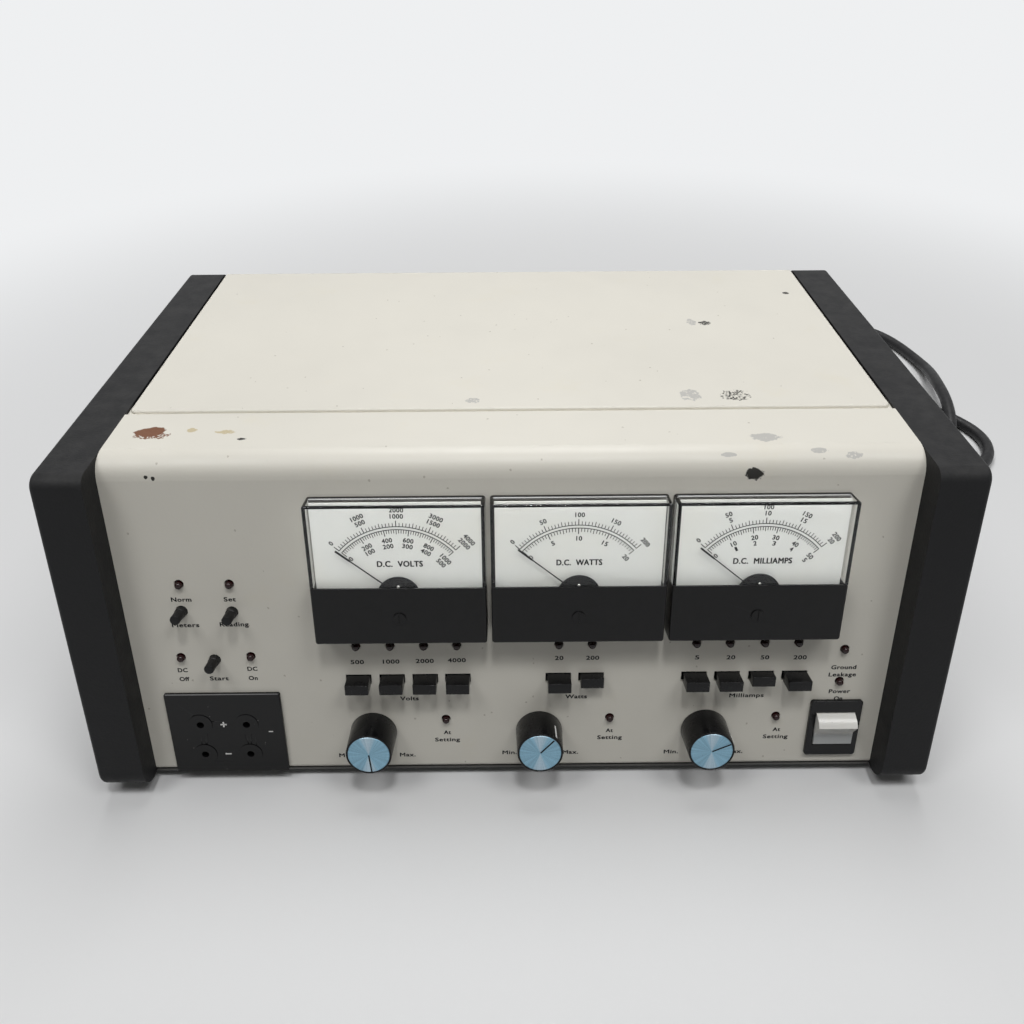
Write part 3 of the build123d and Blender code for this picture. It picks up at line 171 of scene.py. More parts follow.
SETTINGS = {
    "supply_case": CaseSettings,
    "supply_meters": MeterSettings,
    "supply_controls": ControlSettings,
    "supply_lead": LeadSettings,
    "supply_stage": StageSettings,
}


# ---------------------------------------------------------------- shader nodes

class Nodes:
    """Adds nodes to one tree; sockets are given values or links by name or number."""

    def __init__(self, tree):
        self.tree = tree

    def add(self, kind, sockets=None, **settings):
        node = self.tree.nodes.new("ShaderNode" + kind)
        for name, value in settings.items():
            setattr(node, name, value)
        for key, value in (sockets or {}).items():
            self.put(node.inputs[key], value)
        return node

    def put(self, socket, value):
        if isinstance(value, bpy.types.NodeSocket):
            self.tree.links.new(value, socket)
        elif socket.type == "RGBA" and len(value) == 3:
            socket.default_value = (*value, 1)
        else:
            socket.default_value = value

    def place(self, move=(0, 0, 0), scale=(1, 1, 1)):
        """Object coordinates, moved and stretched."""
        spot = self.add("TexCoord").outputs["Object"]
        return self.add("Mapping", {0: spot, 1: move, 3: scale}).outputs[0]

    def noise(self, vector, scale, detail=3.0, roughness=0.55):
        return self.add("TexNoise", {"Vector": vector, "Scale": scale, "Detail": detail,
                                     "Roughness": roughness}).outputs["Fac"]

    def cells(self, vector, scale, feature):
        return self.add("TexVoronoi", {"Vector": vector, "Scale": scale}, feature=feature).outputs["Distance"]

    def sum(self, operation, first, second=0.0, third=0.0, clamp=False):
        return self.add("Math", {0: first, 1: second, 2: third}, operation=operation, use_clamp=clamp).outputs[0]

    def span(self, value, low, high, start=0.0, end=1.0):
        """Smooth step of a value from low to high."""
        return self.add("MapRange", {"Value": value, "From Min": low, "From Max": high, "To Min": start,
                                     "To Max": end}, interpolation_type="SMOOTHSTEP").outputs[0]

    def mix(self, share, first, second):
        node = self.add("Mix", data_type="RGBA")
        self.put(node.inputs[0], share)
        self.put(node.inputs[6], first)
        self.put(node.inputs[7], second)
        return node.outputs[2]

    def bump(self, height, strength, depth):
        return self.add("Bump", {"Height": height, "Strength": strength, "Distance": depth}).outputs[0]

    def coat(self, shader, colour, roughness, height, strength, depth):
        """Colour, roughness and relief of a shader, from values that change over the surface."""
        self.put(shader["Base Color"], colour)
        self.put(shader["Roughness"], roughness)
        self.put(shader["Normal"], self.bump(height, strength, depth))

    def group(self, name, **sockets):
        node = self.add("Group", node_tree=bpy.data.node_groups[name])
        for key, value in sockets.items():
            self.put(node.inputs[key.replace("_", " ")], value)
        return node


def new_group(name, inputs, outputs):
    """Node group with named sockets; inputs are (name, kind, default)."""
    tree = bpy.data.node_groups.new(name, "ShaderNodeTree")
    for label, kind, value in inputs:
        socket = tree.interface.new_socket(label, in_out="INPUT", socket_type="NodeSocket" + kind)
        socket.default_value = value
    for label, kind in outputs:
        tree.interface.new_socket(label, in_out="OUTPUT", socket_type="NodeSocket" + kind)
    nodes = Nodes(tree)
    inside = tree.nodes.new("NodeGroupInput")
    result = tree.nodes.new("NodeGroupOutput")
    return nodes, inside.outputs, result.inputs


def build_edge_wear():
    """Mask of rubbed edges: where a rounded normal leaves the face's own, broken up by noise."""
    nodes, given, result = new_group(
        "Edge wear",
        [("Vector", "Vector", (0, 0, 0)), ("Radius", "Float", 0.0008), ("Breakup", "Float", 300.0),
         ("Cover", "Float", 0.5)],
        [("Mask", "Float")],
    )
    rounded = nodes.add("Bevel", {"Radius": given["Radius"]}, samples=4).outputs[0]
    own = nodes.add("NewGeometry").outputs["Normal"]
    turn = nodes.add("VectorMath", {0: rounded, 1: own}, operation="DOT_PRODUCT").outputs["Value"]
    edge = nodes.span(turn, 0.985, 0.90)
    patches = nodes.noise(given["Vector"], given["Breakup"], 4.0, 0.6)
    low = nodes.sum("SUBTRACT", 1.0, given["Cover"])
    high = nodes.sum("ADD", low, 0.16)
    rubbed = nodes.add("MapRange", {"Value": patches, "From Min": low, "From Max": high}).outputs[0]
    nodes.put(result["Mask"], nodes.sum("MULTIPLY", edge, rubbed))


def build_blemish():
    """Mask of one irregular mark: an ellipse about a centre with a ragged outline and inner holes."""
    nodes, given, result = new_group(
        "Blemish",
        [("Vector", "Vector", (0, 0, 0)), ("Centre", "Vector", (0, 0, 0)), ("Size", "Vector", (1, 1, 1)),
         ("Ragged", "Float", 0.6), ("Grain", "Float", 300.0), ("Fill", "Float", 0.9)],
        [("Mask", "Float")],
    )
    offset = nodes.add("VectorMath", {0: given["Vector"], 1: given["Centre"]}, operation="SUBTRACT").outputs[0]
    scaled = nodes.add("VectorMath", {0: offset, 1: given["Size"]}, operation="DIVIDE").outputs[0]
    reach = nodes.add("VectorMath", {0: scaled}, operation="LENGTH").outputs["Value"]
    ragged = nodes.sum("SUBTRACT", nodes.noise(given["Vector"], given["Grain"], 5.0, 0.65), 0.5)
    edge = nodes.sum("MULTIPLY_ADD", ragged, given["Ragged"], reach)
    body = nodes.span(edge, 1.0, 0.88)
    coarse = nodes.noise(given["Vector"], nodes.sum("MULTIPLY", given["Grain"], 2.3), 3.0, 0.6)
    holes = nodes.add("MapRange", {"Value": coarse, "From Min": nodes.sum("ADD", given["Fill"], 0.06),
                                   "From Max": given["Fill"]}).outputs[0]
    nodes.put(result["Mask"], nodes.sum("MULTIPLY", body, holes))


def build_specks():
    """Mask of small scattered specks, kept to a share of the cells."""
    nodes, given, result = new_group(
        "Specks",
        [("Vector", "Vector", (0, 0, 0)), ("Scale", "Float", 120.0), ("Share", "Float", 0.1),
         ("Size", "Float", 0.15)],
        [("Mask", "Float")],
    )
    bent = nodes.add("TexNoise", {"Vector": given["Vector"], "Scale": 900.0}).outputs["Color"]
    shift = nodes.add("VectorMath", {0: bent, 1: (0.0012, 0.0012, 0.0012)}, operation="MULTIPLY").outputs[0]
    spot = nodes.add("VectorMath", {0: given["Vector"], 1: shift}, operation="ADD").outputs[0]
    cell = nodes.add("TexVoronoi", {"Vector": spot, "Scale": given["Scale"]})
    pick = nodes.add("SeparateColor", {0: cell.outputs["Color"]}).outputs[0]
    kept = nodes.sum("LESS_THAN", pick, given["Share"])
    dot = nodes.sum("LESS_THAN", cell.outputs["Distance"], given["Size"])
    nodes.put(result["Mask"], nodes.sum("MULTIPLY", kept, dot))


def build_scratches():
    """Mask of fine straight scratches running one way, turned by an angle."""
    nodes, given, result = new_group(
        "Scratches",
        [("Vector", "Vector", (0, 0, 0)), ("Angle", "Float", 0.0), ("Fineness", "Float", 900.0),
         ("Cover", "Float", 0.2)],
        [("Mask", "Float")],
    )
    turned = nodes.add("VectorRotate", {"Vector": given["Vector"], "Angle": given["Angle"]},
                       rotation_type="Z_AXIS").outputs[0]
    drawn = nodes.add("VectorMath", {0: turned, 1: (0.035, 1.0, 1.0)}, operation="MULTIPLY").outputs[0]
    lines = nodes.noise(drawn, given["Fineness"], 2.0, 0.5)
    where = nodes.noise(given["Vector"], 22.0, 2.0, 0.5)
    low = nodes.sum("SUBTRACT", 0.86, nodes.sum("MULTIPLY", given["Cover"], 0.5))
    fine = nodes.add("MapRange", {"Value": lines, "From Min": low, "From Max": nodes.sum("ADD", low, 0.05)})
    nodes.put(result["Mask"], nodes.sum("MULTIPLY", fine.outputs[0], nodes.span(where, 0.45, 0.65)))


def build_dust():
    """Mask of settled dust on faces that look up."""
    nodes, given, result = new_group(
        "Settled dust",
        [("Vector", "Vector", (0, 0, 0)), ("Scale", "Float", 60.0), ("Amount", "Float", 0.5)],
        [("Mask", "Float")],
    )
    normal = nodes.add("NewGeometry").outputs["Normal"]
    up = nodes.add("SeparateXYZ", {0: normal}).outputs["Z"]
    level = nodes.span(up, 0.25, 0.95)
    cloud = nodes.noise(given["Vector"], given["Scale"], 6.0, 0.7)
    nodes.put(result["Mask"], nodes.sum("MULTIPLY", nodes.sum("MULTIPLY", level, nodes.span(cloud, 0.3, 0.75)),
                                        given["Amount"]))


# ---------------------------------------------------------------- materials

def new_material(name, roughness=0.5, metallic=0.0, **constants):
    """Material with one Principled shader; constants are set straight on its sockets."""
    material = bpy.data.materials.new(name)
    material.use_nodes = True
    nodes = Nodes(material.node_tree)
    shader = material.node_tree.nodes["Principled BSDF"]
    nodes.put(shader.inputs["Roughness"], roughness)
    nodes.put(shader.inputs["Metallic"], metallic)
    for key, value in constants.items():
        nodes.put(shader.inputs[key.replace("_", " ")], value)
    return nodes, shader.inputs


# Marks on the paint in the object's own frame, in metres: centre, size, ragged, grain, fill
GLUE_MARKS = [
    ((-0.1837, -0.0627, 0.1875), (0.0085, 0.0046, 0.02), 1.0, 210.0, 0.80),
    ((-0.1822, -0.0662, 0.1875), (0.0092, 0.0034, 0.02), 1.6, 420.0, 0.50),
]
STAIN_MARKS = [
    ((-0.1634, -0.0612, 0.1875), (0.0030, 0.0020, 0.02), 1.6, 420.0, 0.62),
    ((-0.1457, -0.0632, 0.1875), (0.0048, 0.0018, 0.02), 2.0, 420.0, 0.58),
]
SCUFF_MARKS = [
    ((0.1274, -0.0721, 0.1875), (0.0080, 0.0040, 0.02), 1.5, 240.0, 0.58),
    ((0.1519, -0.0831, 0.1866), (0.0046, 0.0016, 0.004), 1.5, 300.0, 0.60),
    ((0.1686, -0.0857, 0.1852), (0.0040, 0.0018, 0.004), 1.7, 380.0, 0.55),
    ((0.0975, -0.0290, 0.1875), (0.0060, 0.0065, 0.02), 1.8, 200.0, 0.55),
    ((-0.0200, -0.0330, 0.1875), (0.0040, 0.0030, 0.02), 1.6, 320.0, 0.55),
    ((0.1150, 0.0640, 0.1875), (0.0030, 0.0050, 0.02), 1.8, 300.0, 0.55),
    ((0.1066, -0.0850, 0.1858), (0.0042, 0.0012, 0.004), 1.2, 400.0, 0.64),
]
CHIP_MARKS = [
    ((0.1194, -0.0913, 0.1783), (0.0050, 0.0026, 0.0034), 1.7, 240.0, 0.74),
    ((0.1219, -0.0294, 0.1875), (0.0082, 0.0058, 0.02), 1.7, 430.0, 0.47),
    ((0.1235, 0.0628, 0.1875), (0.0038, 0.0030, 0.02), 2.0, 480.0, 0.54),
    ((0.1869, 0.1095, 0.1875), (0.0022, 0.0018, 0.02), 1.6, 500.0, 0.60),
    ((-0.1355, -0.0700, 0.1875), (0.0028, 0.0010, 0.02), 1.8, 600.0, 0.60),
    ((-0.1789, -0.0908, 0.1790), (0.0011, 0.0009, 0.0012), 1.2, 600.0, 0.70),
    ((-0.1754, -0.0912, 0.1784), (0.0010, 0.0008, 0.0012), 1.2, 600.0, 0.70),
]


def marks(nodes, spot, places):
    """Largest of several blemishes."""
    mask = None
    for centre, size, ragged, grain, fill in places:
        one = nodes.group("Blemish", Vector=spot, Centre=centre, Size=size, Ragged=ragged, Grain=grain,
                          Fill=fill).outputs[0]
        mask = one if mask is None else nodes.sum("MAXIMUM", mask, one)
    return mask


def paint_material(name, worn_edges=True):
    """Off-white enamel: faint orange peel, yellowed clouds, glue, scuffs and chips down to dark metal, and painted
    shade at its foot.
    """
    case = bpy.context.scene.supply_case
    nodes, shader = new_material(name, 0.42)
    spot = nodes.place()
    paint = Vector(case.paint)
    cloud = nodes.span(nodes.noise(spot, 7.0, 4.0, 0.6), 0.35, 0.7)
    colour = nodes.mix(cloud, tuple(paint), tuple(paint * 0.965))
    yellowed = nodes.span(nodes.noise(spot, 31.0, 5.0, 0.65), 0.56, 0.8, 0.0, 0.28)
    colour = nodes.mix(yellowed, colour, (paint.x * 0.97, paint.y * 0.94, paint.z * 0.84))
    grime = nodes.group("Specks", Vector=spot, Scale=260.0, Share=0.035, Size=0.16).outputs[0]
    colour = nodes.mix(nodes.sum("MULTIPLY", grime, 0.45), colour, (0.28, 0.24, 0.18))
    scratched = nodes.group("Scratches", Vector=spot, Angle=0.7, Fineness=1300.0, Cover=0.28).outputs[0]
    colour = nodes.mix(nodes.sum("MULTIPLY", scratched, 0.30), colour, (0.50, 0.49, 0.46))
    colour = nodes.mix(nodes.sum("MULTIPLY", marks(nodes, spot, SCUFF_MARKS), 0.75), colour, (0.42, 0.415, 0.40))
    colour = nodes.mix(nodes.sum("MULTIPLY", marks(nodes, spot, STAIN_MARKS), 0.75), colour, (0.50, 0.40, 0.20))
    glue = marks(nodes, spot, GLUE_MARKS)
    glue_tone = nodes.mix(nodes.noise(spot, 420.0, 4.0, 0.7), tuple(case.glue), (0.20, 0.095, 0.050))
    colour = nodes.mix(glue, colour, glue_tone)
    # Painted shade: the paint turns near-black along the foot of the panel, just above the case bottom.
    low = nodes.add("SeparateXYZ", {0: spot}).outputs["Z"]
    painted_foot_shade = nodes.sum("MULTIPLY_ADD", nodes.noise(spot, 140.0, 4.0, 0.6), 0.0016, low)
    colour = nodes.mix(nodes.span(painted_foot_shade, 0.0104, 0.0088, 0.0, 0.86), colour, (0.05, 0.047, 0.042))
    bare = marks(nodes, spot, CHIP_MARKS)
    if worn_edges:
        worn = nodes.group("Edge wear", Vector=spot, Radius=0.0009, Breakup=170.0, Cover=0.30).outputs[0]
        bare = nodes.sum("MAXIMUM", bare, worn)
    colour = nodes.mix(bare, colour, tuple(case.primer))
    gloss = nodes.span(nodes.noise(spot, 60.0, 4.0, 0.6), 0.3, 0.7, 0.36, 0.47)
    gloss = nodes.sum("MULTIPLY_ADD", nodes.sum("MAXIMUM", bare, glue), 0.3, gloss, clamp=True)
    peel = nodes.noise(spot, 620.0, 2.0, 0.5)
    relief = nodes.sum("MULTIPLY_ADD", nodes.sum("SUBTRACT", glue, bare), 2.2, peel)
    nodes.coat(shader, colour, gloss, relief, 0.10, 0.0004)


def moulding_material(name, tone, roughness=0.56, grain=900.0, depth=0.00022, dust=0.10, wear=0.35,
                      rub=(0.06, 0.06, 0.06)):
    """Grained black plastic, rubbed pale along its edges and dusty on top."""
    nodes, shader = new_material(name, roughness, Specular_IOR_Level=0.25)
    spot = nodes.place()
    tone = Vector(tone)
    mottle = nodes.span(nodes.noise(spot, 90.0, 5.0, 0.6), 0.3, 0.75)
    colour = nodes.mix(mottle, tuple(tone), tuple(tone * 1.55))
    settled = nodes.group("Settled dust", Vector=spot, Scale=75.0, Amount=dust).outputs[0]
    colour = nodes.mix(settled, colour, (0.16, 0.155, 0.15))
    worn = nodes.group("Edge wear", Vector=spot, Radius=0.0012, Breakup=260.0, Cover=wear).outputs[0]
    colour = nodes.mix(worn, colour, rub)
    gloss = nodes.sum("MULTIPLY_ADD", mottle, 0.12, roughness - 0.06)
    leather = nodes.cells(spot, grain, "SMOOTH_F1")
    fine = nodes.noise(spot, grain * 2.2, 3.0, 0.6)
    nodes.coat(shader, colour, gloss, nodes.sum("MULTIPLY_ADD", fine, 0.4, leather), 0.32, depth)


def gloss_material(name, tone, roughness=0.16, specks=0.03, wear=0.2):
    """Smooth black plastic with a few dust specks and hairline scratches."""
    nodes, shader = new_material(name, roughness, Specular_IOR_Level=0.28)
    spot = nodes.place()
    tone = Vector(tone)
    cloud = nodes.noise(spot, 45.0, 4.0, 0.6)
    colour = nodes.mix(cloud, tuple(tone), tuple(tone * 1.4))
    dust = nodes.group("Specks", Vector=spot, Scale=420.0, Share=specks, Size=0.12).outputs[0]
    colour = nodes.mix(nodes.sum("MULTIPLY", dust, 0.6), colour, (0.22, 0.21, 0.20))
    hair = nodes.group("Scratches", Vector=spot, Angle=0.35, Fineness=2200.0, Cover=0.3).outputs[0]
    colour = nodes.mix(nodes.sum("MULTIPLY", hair, 0.12), colour, (0.16, 0.16, 0.16))
    worn = nodes.group("Edge wear", Vector=spot, Radius=0.0004, Breakup=600.0, Cover=wear).outputs[0]
    colour = nodes.mix(nodes.sum("MULTIPLY", worn, 0.7), colour, (0.10, 0.10, 0.10))
    gloss = nodes.span(cloud, 0.3, 0.75, roughness * 0.8, roughness * 1.5)
    nodes.coat(shader, colour, gloss, nodes.noise(spot, 240.0, 2.0, 0.5), 0.05, 0.0002)


def metal_material(name, tone, roughness, grain=500.0):
    """Plated or turned metal with drawn grain and dull stains."""
    nodes, shader = new_material(name, roughness, 1.0)
    spot = nodes.place()
    tone = Vector(tone)
    drawn = nodes.place(scale=(0.08, 1.0, 1.0))
    lines = nodes.noise(drawn, grain, 3.0, 0.6)
    colour = nodes.mix(lines, tuple(tone * 0.9), tuple(tone))
    dull = nodes.span(nodes.noise(spot, 55.0, 6.0, 0.7), 0.55, 0.8, 0.0, 0.3)
    colour = nodes.mix(dull, colour, (0.20, 0.17, 0.13))
    gloss = nodes.sum("ADD", nodes.sum("MULTIPLY_ADD", lines, 0.14, roughness - 0.07),
                      nodes.sum("MULTIPLY", dull, 0.35), clamp=True)
    nodes.coat(shader, colour, gloss, lines, 0.12, 0.0001)


def card_material():
    """Painted dial plate: nearly white, with a faint fibre and a little yellowing in clouds."""
    meters = bpy.context.scene.supply_meters
    nodes, shader = new_material("dial_card", 0.62)
    spot = nodes.place()
    card = Vector(meters.card)
    fibre = nodes.noise(spot, 700.0, 4.0, 0.65)
    colour = nodes.mix(fibre, tuple(card * 0.97), tuple(card))
    aged = nodes.span(nodes.noise(spot, 26.0, 3.0, 0.5), 0.4, 0.75, 0.0, 0.5)
    colour = nodes.mix(aged, colour, (card.x * 0.985, card.y * 0.965, card.z * 0.92))
    nodes.coat(shader, colour, nodes.span(fibre, 0.3, 0.7, 0.55, 0.68), fibre, 0.06, 0.00008)


def ink_material(name, tone, under=None, worn=0.10):
    """Screen-printed ink with a slightly broken edge and body."""
    nodes, shader = new_material(name, 0.55, Specular_IOR_Level=0.2)
    spot = nodes.place()
    tone = Vector(tone)
    under = under or tuple(tone * 2.2)
    patchy = nodes.noise(spot, 1500.0, 3.0, 0.6)
    colour = nodes.mix(patchy, tuple(tone * 0.8), tuple(tone * 1.3))
    rubbed = nodes.span(nodes.noise(spot, 2600.0, 4.0, 0.65), 0.62, 0.72, 0.0, worn)
    colour = nodes.mix(rubbed, colour, under)
    nodes.coat(shader, colour, nodes.span(patchy, 0.3, 0.7, 0.48, 0.62), patchy, 0.08, 0.00004)


def window_material():
    """Clear acrylic that lets the lamps through, faintly smeared and scratched."""
    material = bpy.data.materials.new("clear_acrylic")
    material.use_nodes = True
    nodes = Nodes(material.node_tree)
    shader = material.node_tree.nodes["Principled BSDF"]
    for key, value in {"Base Color": (0.985, 0.99, 0.985), "IOR": 1.49, "Transmission Weight": 1.0,
                       "Specular Tint": (0.3, 0.3, 0.3), "Metallic": 0.0}.items():
        nodes.put(shader.inputs[key], value)
    spot = nodes.place()
    smear = nodes.span(nodes.noise(spot, 38.0, 5.0, 0.7), 0.52, 0.78, 0.0, 0.014)
    hair = nodes.group("Scratches", Vector=spot, Angle=0.5, Fineness=2400.0, Cover=0.22).outputs[0]
    nodes.put(shader.inputs["Roughness"], nodes.sum("MULTIPLY_ADD", hair, 0.05, smear))
    nodes.put(shader.inputs["Normal"], nodes.bump(nodes.noise(spot, 55.0, 2.0, 0.5), 0.015, 0.0002))
    clear = nodes.add("BsdfTransparent", {0: (0.93, 0.94, 0.93)})
    ray = nodes.add("LightPath").outputs["Is Shadow Ray"]
    mixed = nodes.add("MixShader", {0: ray, 1: shader.outputs[0], 2: clear.outputs[0]})
    output = material.node_tree.nodes["Material Output"]
    nodes.put(output.inputs["Surface"], mixed.outputs[0])


def spun_material():
    """Spun aluminium: fine rings about each cap's own middle and streaks out from it, from its UV maps, with a
    painted highlight in upright wedges and a blue tint that is a painted reflection.
    """
    cap = Vector(bpy.context.scene.supply_controls.cap)
    nodes, shader = new_material("spun_cap_metal", 0.30, 1.0, Anisotropic=0.8)
    disc = nodes.add("UVMap", uv_map="disc").outputs[0]
    way = nodes.add("VectorMath", {0: disc}, operation="NORMALIZE").outputs[0]
    reach = nodes.add("VectorMath", {0: disc}, operation="LENGTH").outputs["Value"]
    rings = nodes.noise(nodes.add("CombineXYZ", {"X": reach}).outputs[0], 60.0, 3.0, 0.7)
    streaks = nodes.noise(way, 7.0, 4.0, 0.65)
    # Painted highlight: a paler, streaked wedge straight up and down from each cap's middle.
    upright = nodes.sum("ABSOLUTE", nodes.add("SeparateXYZ", {0: way}).outputs["Y"])
    painted_highlight_wedge = nodes.sum("MULTIPLY", nodes.span(upright, 0.90, 1.0), nodes.span(streaks, 0.32, 0.62, 0.35, 1.0))
    # Painted reflection: the cap's colour carries the blue tint of mirrored surroundings.
    tone = nodes.mix(nodes.span(streaks, 0.3, 0.7), tuple(cap * 0.78), tuple(cap * 1.1))
    tone = nodes.mix(nodes.sum("MULTIPLY", painted_highlight_wedge, 0.8), tone, tuple(cap * 0.35 + Vector((0.42, 0.44, 0.46))))
    tone = nodes.mix(nodes.span(rings, 0.62, 0.40, 0.0, 0.22), tone, tuple(cap * 0.6))
    tangent = nodes.add("Tangent", direction_type="UV_MAP", uv_map="rings")
    nodes.put(shader["Tangent"], tangent.outputs[0])
    nodes.coat(shader, tone, nodes.span(rings, 0.3, 0.7, 0.24, 0.36), rings, 0.10, 0.00003)


def lamp_material():
    """Dark red diffused plastic of an unlit lamp."""
    lamp = Vector(bpy.context.scene.supply_controls.lamp)
    nodes, shader = new_material("lamp_red_plastic", 0.12, Specular_IOR_Level=0.4)
    spot = nodes.place()
    cloud = nodes.noise(spot, 520.0, 3.0, 0.6)
    colour = nodes.mix(cloud, tuple(lamp * 0.7), tuple(lamp * 1.35))
    nodes.coat(shader, colour, nodes.span(cloud, 0.3, 0.7, 0.08, 0.2), cloud, 0.03, 0.0001)


def white_plastic_material():
    """Glossy white rocker plastic, a little grimy, with painted bluish shade on its lower half."""
    tone = Vector(bpy.context.scene.supply_controls.rocker)
    nodes, shader = new_material("white_rocker_plastic", 0.24)
    spot = nodes.place()
    cloud = nodes.span(nodes.noise(spot, 120.0, 5.0, 0.65), 0.45, 0.8, 0.0, 0.35)
    colour = nodes.mix(cloud, tuple(tone), (tone.x * 0.92, tone.y * 0.88, tone.z * 0.78))
    # Painted shade and painted reflection: below the rocker's middle its white turns bluish grey.
    low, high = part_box("power_rocker")
    height = nodes.add("SeparateXYZ", {0: spot}).outputs["Z"]
    middle = (low.z + high.z) / 2
    painted_lower_shade = nodes.span(height, middle + 0.0006, middle - 0.0030, 0.0, 0.62)
    colour = nodes.mix(painted_lower_shade, colour, (0.20, 0.23, 0.25))
    specks = nodes.group("Specks", Vector=spot, Scale=700.0, Share=0.05, Size=0.2).outputs[0]
    colour = nodes.mix(nodes.sum("MULTIPLY", specks, 0.5), colour, (0.2, 0.18, 0.15))
    gloss = nodes.sum("MULTIPLY_ADD", cloud, 0.3, 0.2)
    nodes.coat(shader, colour, gloss, nodes.noise(spot, 300.0, 2.0, 0.5), 0.04, 0.0002)


def rubber_material(name, tone, roughness=0.62):
    """Black rubber or flexible sheath, faintly ribbed by its die and dusty."""
    nodes, shader = new_material(name, roughness, Specular_IOR_Level=0.3)
    spot = nodes.place()
    tone = Vector(tone)
    cloud = nodes.noise(spot, 110.0, 5.0, 0.65)
    colour = nodes.mix(cloud, tuple(tone * 0.8), tuple(tone * 1.7))
    dust = nodes.group("Settled dust", Vector=spot, Scale=160.0, Amount=0.12).outputs[0]
    colour = nodes.mix(dust, colour, (0.17, 0.165, 0.16))
    gloss = nodes.span(cloud, 0.3, 0.75, roughness - 0.12, roughness + 0.08)
    nodes.coat(shader, colour, gloss, nodes.noise(spot, 1500.0, 3.0, 0.6), 0.10, 0.0001)


def movement_material():
    """Bridge and posts in black, the magnet and core behind the dial in bare steel."""
    nodes, shader = new_material("movement_black_and_steel", 0.4, Specular_IOR_Level=0.25)
    spot = nodes.place()
    raw = nodes.add("TexCoord").outputs["Object"]
    offset = nodes.add("VectorMath", {0: raw, 1: (0, CASE_FRONT * 0.001, CASE_BOTTOM * 0.001)},
                       operation="SUBTRACT").outputs[0]
    level = nodes.add("VectorMath", {0: offset, 1: (0, -cos(LEAN), sin(LEAN))},
                      operation="DOT_PRODUCT").outputs["Value"]
    front = nodes.sum("GREATER_THAN", level, 0.0)
    grain = nodes.noise(spot, 900.0, 4.0, 0.6)
    black = nodes.mix(grain, (0.004, 0.004, 0.0045), (0.007, 0.007, 0.0075))
    steel = nodes.mix(grain, (0.38, 0.38, 0.39), (0.55, 0.55, 0.56))
    nodes.put(shader["Metallic"], nodes.sum("SUBTRACT", 1.0, front))
    gloss = nodes.span(grain, 0.3, 0.7, 0.36, 0.5)
    nodes.coat(shader, nodes.mix(front, steel, black), gloss, grain, 0.06, 0.00006)


def board_material():
    """Circuit board and its parts: green laminate, dark capacitors and relays, a black heat sink."""
    nodes, shader = new_material("circuit_laminate", 0.45)
    spot = nodes.place()
    height = nodes.add("SeparateXYZ", {0: spot}).outputs["Z"]
    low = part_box("circuit_board")[0].z
    laminate = nodes.sum("LESS_THAN", height, low + 0.0118)
    tracks = nodes.cells(nodes.place(scale=(1, 0.35, 1)), 260.0, "DISTANCE_TO_EDGE")
    copper = nodes.span(tracks, 0.10, 0.06)
    green = nodes.mix(copper, (0.015, 0.085, 0.035), (0.03, 0.15, 0.06))
    sleeve = nodes.mix(nodes.noise(spot, 90.0, 3.0, 0.5), (0.012, 0.014, 0.022), (0.03, 0.032, 0.04))
    gloss = nodes.span(nodes.noise(spot, 300.0, 3.0, 0.6), 0.3, 0.7, 0.35, 0.55)
    nodes.coat(shader, nodes.mix(laminate, sleeve, green), gloss, tracks, 0.15, 0.0001)


def core_material():
    """Laminated transformer core and its taped winding."""
    nodes, shader = new_material("core_and_winding", 0.5)
    spot = nodes.place()
    low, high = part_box("mains_transformer")
    middle = (low + high) / 2
    along = nodes.add("SeparateXYZ", {0: spot}).outputs["Y"]
    off = nodes.sum("ABSOLUTE", nodes.sum("SUBTRACT", along, middle.y))
    winding = nodes.sum("GREATER_THAN", off, 0.0191)
    sheets = nodes.sum("PINGPONG", nodes.sum("MULTIPLY", along, 1000.0), 0.25)
    iron = nodes.mix(nodes.sum("MULTIPLY", sheets, 4.0, clamp=True), (0.03, 0.03, 0.032), (0.12, 0.115, 0.11))
    tape = nodes.mix(nodes.noise(spot, 240.0, 4.0, 0.6), (0.26, 0.19, 0.07), (0.38, 0.29, 0.12))
    gloss = nodes.span(nodes.noise(spot, 320.0, 3.0, 0.6), 0.3, 0.7, 0.4, 0.6)
    nodes.coat(shader, nodes.mix(winding, iron, tape), gloss, sheets, 0.25, 0.0002)


def floor_material():
    """Plain pale floor that keeps the object's shadow and passes into the pale backdrop away from it."""
    stage = bpy.context.scene.supply_stage
    material = bpy.data.materials.new("pale_floor")
    material.use_nodes = True
    nodes = Nodes(material.node_tree)
    shader = material.node_tree.nodes["Principled BSDF"]
    nodes.put(shader.inputs["Roughness"], 0.8)
    nodes.put(shader.inputs["Specular IOR Level"], 0.1)
    path = nodes.add("LightPath").outputs
    seen = nodes.sum("MAXIMUM", path["Is Camera Ray"], path["Is Glossy Ray"])
    seen = nodes.sum("MAXIMUM", seen, path["Is Transmission Ray"])
    tone = Vector(stage.floor)
    cloud = nodes.noise(nodes.place(), 3.0, 4.0, 0.6)
    pale = nodes.mix(cloud, tuple(tone * 0.985), tuple(tone))
    nodes.put(shader.inputs["Base Color"], nodes.mix(seen, tuple(tone * 0.45), pale))
    nodes.put(shader.inputs["Normal"], nodes.bump(nodes.noise(nodes.place(), 900.0, 2.0, 0.5), 0.04, 0.0002))
    away = nodes.add("VectorMath", {0: nodes.place(move=(-0.08, -0.1, 0))}, operation="LENGTH").outputs["Value"]
    glow = nodes.add("Emission", {0: tuple(stage.backdrop), 1: 1.0})
    share = nodes.sum("MULTIPLY", nodes.span(away, 0.42, 1.1), seen)
    mixed = nodes.add("MixShader", {0: share, 1: shader.outputs[0], 2: glow.outputs[0]})
    nodes.put(material.node_tree.nodes["Material Output"].inputs["Surface"], mixed.outputs[0])


